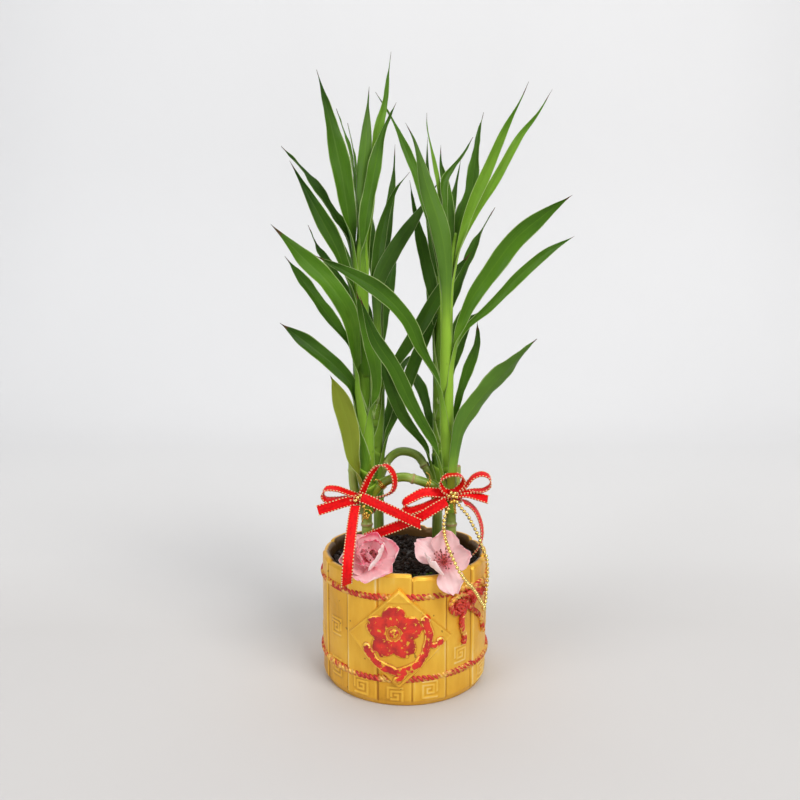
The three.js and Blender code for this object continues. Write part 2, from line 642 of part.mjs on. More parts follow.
for (const [side, bloom] of Object.entries(BLOSSOMS)) {
  const stem = bar(curveThrough(bloom.stem), () => 0.9, evenStations(4), 5)
  const layerOf = (layer) => Array.from({ length: layer.count }, (_, k) => petal(bloom, layer, k))
  const petals = bloom.layers.flatMap(layerOf)
  place(`blossom_${side}`, fused([bloomCup(bloom), stem, ...petals]), bloom.material)
  place(`stamens_${side}`, fused(stamens(bloom, STAMEN_SEAT[side])), STAMEN_RED)
}

// ---- the soil: it fills the pot, and holds the canes and the stems in plain holes ----

function soilBody() {
  // the flat faces of the pot's wall come this far in
  const flat = Math.cos(radians(((SLIP_COLUMNS[2] - SLIP_COLUMNS[1]) * SLIP_TURN) / 2))
  const radius = (POT.radius - POT.wall) * flat - GAP
  const ring = (share, height, seed) =>
    Array.from({ length: SOIL.sides }, (_, j) => {
      const lump = seed ? SOIL.lump * noise(seed * 31 + j) : 0
      return roundPot((360 * j) / SOIL.sides, height + lump, radius * share)
    })
  const rings = [ring(1, POT.floor + GAP, 0), ring(1, SOIL.level - 2, 0)]
  for (let i = 0; i < SOIL.rings; i++) {
    const share = 0.93 - (0.8 * i) / (SOIL.rings - 1)
    rings.push(ring(share, SOIL.level, i + 1))
  }
  return skin(rings)
}

function hole(at, radius, bottom) {
  const tall = SOIL.level + 8 - bottom
  const cylinder = new THREE.CylinderGeometry(radius, radius, tall, 8)
  return cylinder.rotateX(Math.PI / 2).translate(at[0], at[1], bottom + tall / 2)
}

const caneFeet = Object.values(PLANTS).flatMap((plant) => [plant.cane[0], plant.cane[plant.cane.length - 1]])
const caneHoles = caneFeet.map((foot) => hole(foot, CANE.radius + 1, CANE.foot - GAP))
const stemHoles = Object.values(BLOSSOMS).map(({ stem }) => {
  const foot = stem[stem.length - 1]
  return hole(foot, STEM_HOLE, foot[2] - 3 * GAP)
})
place('soil', cutBy(soilBody(), [...caneHoles, ...stemHoles]), SOIL_BLACK)

// ---- the ribbon bows ----

/** A flat strip through points; across gives the ribbon's width direction at its start and end. */
function strip(points, across, steps) {
  const curve = curveThrough(points)
  const [from, to] = across.map(vec)
  const sheet = (side) => (u, v) => {
    const tangent = curve.getTangentAt(u)
    const wide = from.clone().lerp(to, u)
    wide.addScaledVector(tangent, -wide.dot(tangent)).normalize()
    const face = tangent.clone().cross(wide)
    const p = curve.getPointAt(u).addScaledVector(wide, (v - 0.5) * RIBBON.wide)
    return p.addScaledVector(face, (side * RIBBON.thick) / 2)
  }
  return slab(sheet(1), sheet(-1), steps, 1)
}

/** The ribbon's turn round the cane under the arch; it rises to the knot in front. */
function ribbonRing(middle, radiusX, radiusY, rise) {
  const sides = 12
  const ring = (offset, height) =>
    Array.from({ length: sides }, (_, j) => {
      const turn = (2 * Math.PI * j) / sides
      const x = middle[0] + (radiusX + offset) * Math.cos(turn)
      const y = middle[1] + (radiusY + offset) * Math.sin(turn)
      return new THREE.Vector3(x, y, middle[2] + height - rise * Math.sin(turn))
    })
  const half = RIBBON.wide * 0.3
  const outline = [ring(0, -half), ring(RIBBON.thick, -half), ring(RIBBON.thick, half), ring(0, half)]
  const points = outline.flat()
  const triangles = []
  for (let i = 0; i < 4; i++) {
    for (let j = 0; j < sides; j++) {
      const [a, b] = [i * sides + j, i * sides + ((j + 1) % sides)]
      const [c, d] = [((i + 1) % 4) * sides + ((j + 1) % sides), ((i + 1) % 4) * sides + j]
      triangles.push([a, b, c], [a, c, d])
    }
  }
  return closed(points, triangles)
}

const knot = (middle, radius) => new THREE.IcosahedronGeometry(radius).scale(1.1, 0.8, 1).translate(...middle)

const BOWS = {
  left: {
    knot: [-25.6, -20.6, 110.4],
    ring: { middle: [-24.6, -12.4, 103.4], x: 7.4, y: 8.4, rise: 5.8 },
    loops: [
      { across: [[0.1, 1, 0.3], [0.1, 1, 0.3]], steps: 9,
        way: [[-26, -20.6, 110.8], [-33.5, -22, 114], [-39.6, -24, 116.5], [-45.1, -26, 116.7],
          [-47.4, -26, 113.8],
          [-45.8, -25, 110.6], [-40, -22.6, 109.6], [-34, -21, 110], [-26, -20.6, 110.2]] },
      { across: [[0.7, 0.7, 0.1], [0.3, 1, -0.3]], steps: 11,
        way: [[-25.6, -20.8, 110.8], [-22.5, -21.6, 118.5], [-19.1, -21.4, 125], [-15.3, -21, 128.9],
          [-11, -20.6, 129],
          [-7.3, -20.4, 125.2], [-5.9, -20.4, 120.2], [-7, -20.4, 114.6], [-11.6, -20.6, 111.6],
          [-18, -20.8, 110.4],
          [-25, -20.6, 110.4]] },
    ],
    shortTail: { across: [[0, 0, 1], [0, 0.1, 1]], steps: 5,
      way: [[-26.5, -21.4, 109.7], [-34.5, -24.6, 108.7], [-42.3, -27, 106.8], [-49.6, -28.4, 104.8]] },
  },
  right: {
    knot: [27.4, -20.8, 112.6],
    ring: { middle: [28.4, -12, 100.2], x: 7.2, y: 9, rise: 10.2 },
    loops: [
      { across: [[0.5, 1, 0.2], [-0.5, 1, 0.2]], steps: 9,
        way: [[27, -21, 112.6], [21.9, -22.6, 115.8], [20.4, -23, 120.5], [24.2, -22.6, 123.8],
          [29.2, -22, 124.4],
          [33.6, -21.4, 122.2], [33.1, -21, 118.1], [28, -21, 113.4]] },
      { across: [[0.1, 1, 0.5], [0.1, 1, 0.1]], steps: 9,
        way: [[28, -20.8, 113.4], [35, -20.4, 117.4], [39.6, -20, 122.4], [44.4, -20, 124.2],
          [48.6, -20, 122.4],
          [49.4, -20, 117.7], [45.8, -20, 114.9], [38.8, -20.4, 114.4], [28.6, -20.8, 112.8]] },
      { across: [[0, 0.5, 1], [0.1, 1, 0.3]], steps: 9,
        way: [[27, -20.8, 112.4], [17.9, -21.6, 113.6], [10.9, -22.6, 113.9], [5.1, -24, 111.6],
          [-0.3, -24.4, 108.3],
          [-1.3, -24.2, 106], [1.7, -23.4, 103.4], [8.6, -22.4, 104.8], [17.9, -21.4, 108.7],
          [26, -20.8, 111.8]] },
    ],
    shortTail: { across: [[0, 1, 0.6], [0, 1, 0.9]], steps: 5,
      way: [[28.2, -21.2, 112.4], [35.1, -22.4, 113.2], [41.5, -22.6, 111.6], [47.6, -22.6, 109.8]] },
  },
}

for (const [side, bow] of Object.entries(BOWS)) {
  const strips = [...bow.loops, bow.shortTail].map((row) => strip(row.way, row.across, row.steps))
  const turns = ribbonRing(bow.ring.middle, bow.ring.x, bow.ring.y, bow.ring.rise)
  place(`ribbon_bow_${side}`, fused([knot(bow.knot, 2.7), turns, ...strips]), RED_SATIN)
}

// The long loose ends of the ribbons, each a flat cord that starts just off its knot.
const TAILS = {
  left_front: { across: [[1, 0, 0.1], [1, 0.2, 0]], steps: 9,
    way: [[-28.4, -25, 106.6], [-28.8, -29, 104.2], [-29.4, -38.6, 98.4], [-29.9, -49.4, 91.4],
      [-30.4, -55.4, 85],
      [-31, -56, 77], [-31.6, -51.8, 69.6]] },
  left_right: { across: [[0.3, 0.1, 1], [0.4, 0, 1]], steps: 6,
    way: [[-22.2, -25, 110.6], [-15.5, -26.8, 108], [-6.3, -29.4, 104.4], [2.2, -30.8, 100.5],
      [9.8, -31.6, 97.2]] },
  right_long: { across: [[-0.4, 0.1, 1], [-0.4, 0, 1]], steps: 8,
    way: [[23.8, -25.4, 109.4], [16, -27, 105.2], [7.9, -27.2, 100.3], [-4, -26.8, 95.4],
      [-15.6, -24.6, 90.4],
      [-24.9, -22, 85.9]] },
  right_edge: { across: [[0, 1, 0], [0, 1, 0.1]], steps: 8,
    way: [[33.4, -24.4, 108.6], [36.8, -22, 106.8], [41.3, -20, 102], [44.4, -19, 94.3], [45.1, -18.6, 86.5],
      [43.4, -17.6, 79.8], [39.4, -16.6, 74.8]] },
}

for (const [name, tail] of Object.entries(TAILS)) {
  place(`ribbon_tail_${name}`, strip(tail.way, tail.across, tail.steps), RED_SATIN)
}

// ---- the gold bead chain and the gold wire ----

// One loop of beads hangs from the right knot, over the blossom and down the pot's side.
const CHAIN_WAYS = {
  inner: [[24.6, -28.2, 105.8], [22.6, -30.2, 102.2], [21.6, -34, 97.6], [22, -41, 92.8], [23.4, -48, 89],
    [25.6, -53.6, 84.6], [28.8, -56, 78.6], [32.4, -53.4, 72.8], [36.3, -48.4, 67.4],
    [40.2, -42.6, 60.3], [43, -37.8, 54.4]],
  outer: [[32, -26, 105.6], [35.6, -25.6, 101.6], [39, -25.4, 95.4], [41.9, -25.6, 89.7], [44.6, -25.6, 82.1],
    [47, -25.4, 76.4], [47.6, -25.4, 70], [47.6, -25.6, 62.9], [46.8, -27.4, 57], [45.2, -30.8, 53.4]],
}

function sectionOf(radius, sides) {
  const shape = new THREE.Shape()
  for (let j = 0; j < sides; j++) {
    const turn = (2 * Math.PI * j) / sides
    const [x, y] = [radius * Math.cos(turn), radius * Math.sin(turn)]
    if (j === 0) shape.moveTo(x, y)
    else shape.lineTo(x, y)
  }
  shape.closePath()
  return shape
}

for (const [name, way] of Object.entries(CHAIN_WAYS)) {
  const extrudePath = curveThrough(way)
  const steps = Math.round(extrudePath.getLength() / (3 * CHAIN.bead))
  const section = sectionOf(CHAIN.bead / 2, CHAIN.sides)
  const tube = new THREE.ExtrudeGeometry(section, { steps, bevelEnabled: false, extrudePath })
  place(`bead_chain_${name}`, tube, GOLD_WIRE)
}
const clasp = new THREE.SphereGeometry(1.6, 7, 5).scale(1, 1, 1.3).translate(44.6, -34.2, 50.6)
place('bead_chain_clasp', clasp, GOLD_WIRE)

const wire = (points, steps) => bar(curveThrough(points), () => WIRE, evenStations(steps), 4)
const bead = (middle, radius) => new THREE.IcosahedronGeometry(radius).translate(...middle)

/** A gold wire wound round the arch, with a short loose end. */
function wireTie({ middle, heading, end }) {
  const ring = new THREE.TorusGeometry(ARCH_RADIUS + GAP + WIRE + 0.4, WIRE, 4, 10)
  const axis = new THREE.Vector3(0, 0, 1)
  ring.applyQuaternion(new THREE.Quaternion().setFromUnitVectors(axis, vec(heading).normalize()))
  ring.translate(...middle)
  return fused([ring, wire(end, 3)])
}

// where each wire is wound, the arch's heading there, and the way of its loose end
const WIRE_TIES = {
  left: {
    middle: [-13.6, -13.3, 116.6], heading: [0.7, 0, 0.7],
    end: [[-15.6, -15.8, 118.8], [-16.6, -17.4, 120.4], [-18.4, -18, 119.6]],
  },
  right: {
    middle: [13.6, -13.9, 117], heading: [0.93, 0, -0.36],
    end: [[13.8, -14.6, 120.4], [14.4, -16, 122.4], [12.4, -16.6, 124.4]],
  },
}
for (const [side, row] of Object.entries(WIRE_TIES)) place(`wire_tie_${side}`, wireTie(row), GOLD_WIRE)

/** The small gold spray under the left knot: a bent wire with beads and a tiny flower. */
function goldSpray() {
  const stalk = [[-23.6, -24.6, 106.6], [-23.4, -24.8, 104], [-23.6, -25, 101.6], [-24.6, -24.8, 96.9]]
  const pieces = [wire(stalk, 3)]
  pieces.push(bead([-23.6, -24.6, 106.2], 1.2))
  for (let k = 0; k < 5; k++) {
    const turn = radians(72 * k + 10)
    pieces.push(bead([-22.4 + 1.5 * Math.cos(turn), -25.2, 100.8 + 1.5 * Math.sin(turn)], 1))
  }
  pieces.push(bead([-22.4, -25.6, 100.8], 1.2))
  pieces.push(wire([[-23.5, -24.8, 104.4], [-21, -25.4, 104.6], [-19, -25.6, 103]], 2))
  return fused(pieces)
}

/** The gold bead and twisted wire end under the right knot. */
function goldTwist() {
  return fused([
    bead([28, -25, 109.4], 1.3),
    bead([26.4, -25, 108.8], 1.1),
    wire([[28, -25, 109], [28.9, -25, 105.6], [29.6, -24.8, 101.9]], 3),
    wire([[28, -25, 109], [27.6, -25.3, 105.2], [28.8, -25, 102.4]], 3),
  ])
}

place('gold_spray_left', goldSpray(), GOLD_WIRE)
place('gold_twist_right', goldTwist(), GOLD_WIRE)

export default group
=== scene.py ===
# %% [markdown]
# A lucky bamboo in a gold pot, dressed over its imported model.
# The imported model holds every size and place. We load it first and never move it: each piece that we
# make here is built in metres in the same frame, with its place in its mesh, and then takes the place
# of the plain solid that it stands for.

# %% The frame
import math
import random

import bpy
import numpy as np
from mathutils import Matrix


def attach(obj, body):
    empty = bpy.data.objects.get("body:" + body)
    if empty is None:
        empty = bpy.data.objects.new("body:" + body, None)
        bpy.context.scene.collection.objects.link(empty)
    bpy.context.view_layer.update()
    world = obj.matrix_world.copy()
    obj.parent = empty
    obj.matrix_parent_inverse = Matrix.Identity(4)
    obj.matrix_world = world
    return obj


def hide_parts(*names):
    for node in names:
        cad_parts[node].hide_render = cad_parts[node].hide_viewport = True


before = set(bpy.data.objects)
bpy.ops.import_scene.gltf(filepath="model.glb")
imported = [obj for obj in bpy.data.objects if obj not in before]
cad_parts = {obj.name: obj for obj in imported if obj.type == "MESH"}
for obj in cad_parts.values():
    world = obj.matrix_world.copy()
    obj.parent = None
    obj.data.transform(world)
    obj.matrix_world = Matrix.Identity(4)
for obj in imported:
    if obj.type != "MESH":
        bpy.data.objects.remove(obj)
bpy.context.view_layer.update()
MM = 0.001


def linked(name, data):
    """A new object in the scene that holds the data."""
    made = bpy.data.objects.new(name, data)
    bpy.context.scene.collection.objects.link(made)
    return made


print("the packed model has", len(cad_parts), "nodes")

# %% [markdown]
# The camera stands a little above the middle of the leaves and looks slightly down, as the photo does.
# Its lens was worked out from the pot's rim and foot, whose ellipses open by different amounts.

# %% The camera
CAMERA = {"place": (-2.9, -396, 202), "down": 5.3, "lens": 29.7, "sensor": 36, "nearest": 0.01}

camera_data = bpy.data.cameras.new("photo_camera")
camera_data.lens = CAMERA["lens"]
camera_data.sensor_width = CAMERA["sensor"]
camera_data.clip_start = CAMERA["nearest"]
camera = linked("photo_camera", camera_data)
camera.location = [c * MM for c in CAMERA["place"]]
camera.rotation_euler = (math.radians(90 - CAMERA["down"]), 0, 0)
bpy.context.scene.camera = camera
print("camera at", CAMERA["place"], "mm, looking", CAMERA["down"], "degrees down")

# %% [markdown]
# Nearly everything on this plant follows a line: canes, leaves, ribbons, ropes and the chain. So the
# first helper is a smooth route through a few listed points, which can be read by the share
# of its length. Points are written in millimetres and the meshes are made in metres.

# %% Routes
def unit(v):
    return v / max(np.linalg.norm(v), 1e-12)


def smooth(x, low, high):
    t = np.clip((x - low) / (high - low), 0, 1)
    return t * t * (3 - 2 * t)


class Route:
    """A smooth line through points in millimetres, read by the share of its length."""

    def __init__(self, points, fine=28):
        p = np.array(points, float)
        p = np.vstack([2 * p[0] - p[1], p, 2 * p[-1] - p[-2]])
        line = []
        for i in range(1, len(p) - 2):
            line += [self.between(p[i - 1 : i + 3], k / fine) for k in range(fine)]
        line.append(p[-2])
        self.line = np.array(line)
        steps = np.linalg.norm(np.diff(self.line, axis=0), axis=1)
        self.run = np.concatenate([[0], np.cumsum(steps)])
        self.length = self.run[-1]

    @staticmethod
    def between(p, share):
        """A point between the middle two of four, with knots spaced by the root of the distance."""
        knots = [0]
        for a, b in zip(p, p[1:]):
            knots.append(knots[-1] + max(np.linalg.norm(b - a), 1e-9) ** 0.5)
        t = knots[1] + share * (knots[2] - knots[1])
        level = list(p)
        for width in (1, 2, 3):
            spans = [knots[1:3]] if width == 3 else zip(knots, knots[width:])
            level = [(a * (high - t) + b * (t - low)) / (high - low)
                     for a, b, (low, high) in zip(level, level[1:], spans)]
        return level[0]

    def point(self, share):
        at = np.clip(share, 0, 1) * self.length
        return np.array([np.interp(at, self.run, self.line[:, k]) for k in range(3)])

    def heading(self, share):
        reach = 0.6 / self.length
        return unit(self.point(min(share + reach, 1)) - self.point(max(share - reach, 0)))


def rows_at(rows, x):
    """A value read off rows of (place, value), straight between them."""
    places, values = zip(*rows)
    return float(np.interp(x, places, values))


# %% [markdown]
# A mesh is built from arrays: a grid of points, closed on itself or not, with a UV map that says
# where across and along the piece each point lies, and number attributes that the finishes read.

# %% Meshes from arrays
def outward(points, faces):
    """The faces of a closed body, turned over if they point inwards."""
    fans = np.array([(f[0], f[k], f[k + 1]) for f in faces for k in range(1, len(f) - 1)])
    a, b, c = (points[fans[:, k]] for k in range(3))
    volume = np.einsum("ij,ij->", a, np.cross(b, c))
    return [tuple(face)[::-1] for face in faces] if volume < 0 else faces


class Shape:
    """One piece's points and faces, gathered from its parts, with a UV and named numbers by point."""

    def __init__(self):
        self.points, self.uvs, self.faces = [], [], []
        self.numbers = {}
        self.count = 0

    def add(self, points, faces, uvs=None, **numbers):
        points = np.asarray(points, float).reshape(-1, 3)
        uvs = np.zeros((len(points), 2)) if uvs is None else np.asarray(uvs, float).reshape(-1, 2)
        self.points.append(points)
        self.uvs.append(uvs)
        self.faces += [tuple(i + self.count for i in face) for face in outward(points, faces)]
        for name in set(self.numbers) | set(numbers):
            rows = self.numbers.setdefault(name, [np.zeros(self.count)] if self.count else [])
            value = numbers.get(name, 0.0)
            rows.append(np.broadcast_to(np.asarray(value, float).ravel(), (len(points),)).copy())
        self.count += len(points)

    def sheet(self, middle, normal, thick, uvs, **numbers):
        """Adds a thin body round a grid. A number for each point of the grid holds on both faces."""
        points, faces = slab(middle, normal, thick)
        for name, value in numbers.items():
            if 2 * np.size(value) == len(points):
                numbers[name] = np.tile(np.ravel(value), 2)
        self.add(points, faces, np.tile(np.reshape(uvs, (-1, 2)), (2, 1)), **numbers)

    def piece(self, name, finish=None):
        """The finished object, in metres, at the origin."""
        mesh = bpy.data.meshes.new(name)
        mesh.from_pydata((np.vstack(self.points) * MM).tolist(), [], self.faces)
        corner = np.empty(len(mesh.loops), int)
        mesh.loops.foreach_get("vertex_index", corner)
        layer = mesh.uv_layers.new(name="along")
        layer.data.foreach_set("uv", np.vstack(self.uvs)[corner].astype(np.float32).ravel())
        for label, rows in self.numbers.items():
            attribute = mesh.attributes.new(label, "FLOAT", "POINT")
            attribute.data.foreach_set("value", np.concatenate(rows).astype(np.float32))
        mesh.polygons.foreach_set("use_smooth", [True] * len(mesh.polygons))
        made = linked(name, mesh)
        if finish:
            mesh.materials.append(finish)
        mesh.validate()
        mesh.update()
        return made


def grid_faces(rows, columns, start=0, ring=False, flip=False):
    """Four-sided faces of a grid; a ring joins its last column to its first."""
    faces = []
    for i in range(rows - 1):
        for j in range(columns if ring else columns - 1):
            a, b = i * columns + j, i * columns + (j + 1) % columns
            face = (start + a, start + b, start + b + columns, start + a + columns)
            faces.append(face[::-1] if flip else face)
    return faces


def border_of(rows, columns):
    """The numbers of the points round the edge of a grid, once round."""
    last = (rows - 1) * columns
    return [*range(columns - 1), *range(columns - 1, last, columns),
            *range(last + columns - 1, last, -1), *range(last, 0, -columns)]


def slab(middle, normal, thick):
    """A closed thin body round a grid of points: both faces and the edge between them."""
    rows, columns = middle.shape[:2]
    half = np.asarray(thick, float) / 2
    half = half[..., None] if half.ndim else half
    points = np.concatenate([(middle + normal * side * half).reshape(-1, 3) for side in (1, -1)])
    size = rows * columns
    faces = grid_faces(rows, columns) + grid_faces(rows, columns, size, flip=True)
    edge = border_of(rows, columns)
    faces += [(b, a, size + a, size + b) for a, b in zip(edge, edge[1:] + edge[:1])]
    return points, faces


def tube(route, radius_at, shares, sides):
    """A closed round bar along a route: its points, faces and UVs. The radius goes by the share."""
    heading = route.heading(0)
    side = unit(np.cross(heading, [0.31, 0.17, 0.94] if abs(heading[2]) < 0.9 else [1, 0.1, 0]))
    points, uvs = [], []
    for share in shares:
        heading = route.heading(share)
        side = unit(side - heading * side.dot(heading))
        up = np.cross(heading, side)
        middle, radius = route.point(share), radius_at(share)
        for j in range(sides):
            turn = 2 * math.pi * j / sides
            points.append(middle + radius * (side * math.cos(turn) + up * math.sin(turn)))
            uvs.append((j / sides, share * route.length))
    faces = grid_faces(len(shares), sides, ring=True)
    size = len(points)
    for share, start, flip in ((shares[0], 0, True), (shares[-1], size - sides, False)):
        points.append(route.point(share))
        uvs.append((0.5, share * route.length))
        for j in range(sides):
            face = (start + j, start + (j + 1) % sides, len(points) - 1)
            faces.append(face[::-1] if flip else face)
    return points, faces, uvs


def even(count):
    """Shares from 0 to 1 in a number of even steps."""
    return [k / count for k in range(count + 1)]


def finished(piece, *nodes, slot=None):
    """The last step for each piece: it rides on the root body and stands for its plain solids."""
    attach(piece, "root")
    if nodes:
        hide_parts(*nodes)
    print(f"{piece.name}: {len(piece.data.polygons)} faces")
    return piece


# %% [markdown]
# Finishes are node materials. One helper makes a node with its inputs given by name, as values or as
# other nodes' outputs, and works in a material and in a Geometry Nodes tree alike. It gives back the
# node's output as something that sums can be written with, so that a finish reads like its formula.

# %% Node helpers
class Value:
    """One output of a node: the first one, unless another is asked for by its name or number."""

    def __init__(self, made, output=0):
        self.node, self.output, self.tree = made, output, made.id_data

    @property
    def socket(self):
        return self.node.outputs[self.output]

    def __getitem__(self, output):
        return Value(self.node, output)

    def sum(self, operation, second=0.0):
        return worked(self.tree, operation, self, second)

    def __add__(self, other):
        return self.sum("ADD", other)

    def __sub__(self, other):
        return self.sum("SUBTRACT", other)

    def __rsub__(self, other):
        return worked(self.tree, "SUBTRACT", other, self)

    def __mul__(self, other):
        return self.sum("MULTIPLY", other)

    def __truediv__(self, other):
        return self.sum("DIVIDE", other)

    def __pow__(self, other):
        return self.sum("POWER", other)

    def __gt__(self, other):
        return self.sum("GREATER_THAN", other)

    def __abs__(self):
        return self.sum("ABSOLUTE")


def feed(made, inputs):
    """Sets a node's inputs to plain values, or links them to other nodes' outputs."""
    for name, value in inputs.items():
        if isinstance(value, Value):
            made.id_data.links.new(value.socket, made.inputs[name])
        else:
            made.inputs[name].default_value = value


def node(tree, kind, inputs=None, **settings):
    made = tree.nodes.new(kind)
    for name, value in settings.items():
        setattr(made, name, value)
    feed(made, inputs or {})
    return Value(made)


def worked(tree, operation, first, second):
    return node(tree, "ShaderNodeMath", {0: first, 1: second}, operation=operation)


def scaled(vector, scale):
    return node(vector.tree, "ShaderNodeVectorMath", {0: vector, "Scale": scale}, operation="SCALE")


def blend(factor, first, second):
    """A mix of two colours, each given as a tuple or as a node's output."""
    first, second = ((*c, 1) if isinstance(c, tuple) else c for c in (first, second))
    return node(factor.tree, "ShaderNodeMix", {0: factor, 6: first, 7: second}, data_type="RGBA")[2]


def ramp(factor, stops):
    """A ramp with stops of (place, colour) or (place, number)."""
    made = node(factor.tree, "ShaderNodeValToRGB", {"Fac": factor})
    elements = made.node.color_ramp.elements
    while len(elements) < len(stops):
        elements.new(0.5)
    for element, (place_at, colour) in zip(elements, stops):
        element.position = place_at
        element.color = (*colour, 1) if isinstance(colour, tuple) else (colour,) * 3 + (1,)
    return made["Color"]


def wander(factor, low, high):
    """A number, such as a roughness, that drifts between two values with a noise."""
    return ramp(factor, [(0.3, low), (0.7, high)])


def number(tree, name):
    return node(tree, "ShaderNodeAttribute", attribute_name=name)["Fac"]


def own_uv(tree):
    return node(tree, "ShaderNodeUVMap", uv_map="along")


def place(tree):
    return node(tree, "ShaderNodeTexCoord")["Object"]


def apart(vector):
    return node(vector.tree, "ShaderNodeSeparateXYZ", {0: vector})


def mapped(vector, scale):
    return node(vector.tree, "ShaderNodeMapping", {"Vector": vector, "Scale": scale})


def noise(vector, scale, detail=3.0, rough=0.5):
    inputs = {"Vector": vector, "Scale": scale, "Detail": detail, "Roughness": rough}
    return node(vector.tree, "ShaderNodeTexNoise", inputs)["Fac"]


def bump(height, distance, strength):
    inputs = {"Height": height, "Distance": distance, "Strength": strength}
    return node(height.tree, "ShaderNodeBump", inputs)


def new_finish(name):
    made = bpy.data.materials.new(name)
    made.use_nodes = True
    return made, made.node_tree


def painted(made, **inputs):
    """The finish, with its shader's own sockets set to constants or linked to nodes."""
    shader = made.node_tree.nodes["Principled BSDF"]
    feed(shader, {label.replace("_", " "): value for label, value in inputs.items()})
    return made


# %% [markdown]
# Geometry Nodes make what repeats along a line or over a surface. The tree is written here once, with
# named inputs, run on a source object, and the result is kept as a plain mesh.

# %% Running a Geometry Nodes tree
def new_tree(name, numbers, material, **others):
    """A tree with a geometry input, the named inputs given, and a geometry output."""
    tree = bpy.data.node_groups.new(name, "GeometryNodeTree")
    inputs = {"Geometry": "Geometry", **dict.fromkeys(numbers, "Float"), **others, material: "Material"}
    for label, kind in inputs.items():
        tree.interface.new_socket(label, in_out="INPUT", socket_type="NodeSocket" + kind)
    tree.interface.new_socket("Geometry", in_out="OUTPUT", socket_type="NodeSocketGeometry")
    return tree, node(tree, "NodeGroupInput")


def end_tree(geometry, material):
    """Ends a tree: what it made becomes one smooth mesh of the material."""
    tree = geometry.tree
    real = node(tree, "GeometryNodeRealizeInstances", {"Geometry": geometry})
    shaded = node(tree, "GeometryNodeSetShadeSmooth", {"Geometry": real})
    dressed = node(tree, "GeometryNodeSetMaterial", {"Geometry": shaded, "Material": material})
    feed(tree.nodes.new("NodeGroupOutput"), {0: dressed})
    return tree


def points_along(given):
    """A point at each pitch of the lines that a tree is given."""
    inputs = {"Curve": given["Geometry"], "Length": given["Pitch"]}
    return node(given.tree, "GeometryNodeCurveToPoints", inputs, mode="LENGTH")


def grown(source, tree, name, **values):
    """Runs the tree on the source with its named inputs set, and gives the result as a new object."""
    modifier = source.modifiers.new("grown", "NODES")
    modifier.node_group = tree
    for item in tree.interface.items_tree:
        if item.in_out == "INPUT" and item.name in values:
            modifier[item.identifier] = values[item.name]
    bpy.context.view_layer.update()
    ready = source.evaluated_get(bpy.context.evaluated_depsgraph_get())
    mesh = bpy.data.meshes.new_from_object(ready)
    source.modifiers.remove(modifier)
    bpy.data.objects.remove(source)
    mesh.name = name
    return linked(name, mesh)


def line_object(name, lines):
    """A curve object with one straight-stepped spline for each list of points in millimetres."""
    data = bpy.data.curves.new(name, "CURVE")
    data.dimensions = "3D"
    for points in lines:
        spline = data.splines.new("POLY")
        spline.points.add(len(points) - 1)
        for target, p in zip(spline.points, points):
            target.co = (*[c * MM for c in p], 1)
    return linked(name, data)


# %% [markdown]
# The gold of this piece comes as wire and beads and as the thread along the ribbons. It is a clean
# yellow metal, a little worn, so its roughness wanders.

# %% Gold finishes
def gold_finish(name, colour, roughness, drift, metal=1.0):
    made, tree = new_finish(name)
    cloud = noise(place(tree), 900.0)
    worn = blend(cloud, tuple(c * 0.72 for c in colour), colour)
    return painted(made, Base_Color=worn, Metallic=metal, Normal=bump(cloud, 0.00005, 0.4),
                   Roughness=wander(cloud, roughness, roughness + drift))


GOLD_BEAD = gold_finish("gold_bead", (1.0, 0.76, 0.25), 0.16, 0.12)
GOLD_WIRE = gold_finish("gold_wire", (0.88, 0.56, 0.1), 0.2, 0.16)
GOLD_THREAD = gold_finish("gold_thread", (1.0, 0.82, 0.42), 0.35, 0.2, 0.2)

# %% [markdown]
# The ribbon is a 6 mm red satin. Satin shines along its weave, so the finish has fine ribs across the
# ribbon and a tone that drifts along the way. The gold edges are real stitches, added below.

# %% Ribbon finish
def satin_finish():
    made, tree = new_finish("red_satin")
    uv = own_uv(tree)
    inputs = {"Vector": mapped(uv, (0.0, 1.0, 0.0)), "Scale": 1.6}
    ribs = node(tree, "ShaderNodeTexWave", inputs, bands_direction="Y")["Fac"]
    drift = noise(mapped(uv, (1.2, 0.12, 1.0)), 3.0)
    red = ramp(drift, [(0.3, (0.66, 0.001, 0.004)), (0.7, (0.94, 0.005, 0.006))])
    rim = abs(apart(uv)["X"] - 0.5) > 0.452
    return painted(made, Base_Color=blend(rim * 0.55, red, (0.34, 0.006, 0.008)), Specular_IOR_Level=0.16,
                   Roughness=wander(drift, 0.34, 0.46), Normal=bump(ribs, 0.00004, 0.5))


RED_SATIN = satin_finish()

# %% [markdown]
# A ribbon is a strip that follows a route, with its width turning slowly from one direction to
# another. Its section is slightly cupped, as satin is where it has been pulled over a blade, and it
# carries a line of gold stitches along both edges, laid down by Geometry Nodes.

# %% Ribbon strips
RIBBON = {"wide": 6.0, "thick": 0.28, "edge": 0.445, "cup": 0.25, "columns": 7, "step": 0.9}
STITCH = {"pitch": 1.8, "long": 1.2, "radius": 0.38, "sunk": 0.3}
CUT_SLANT = 2.6


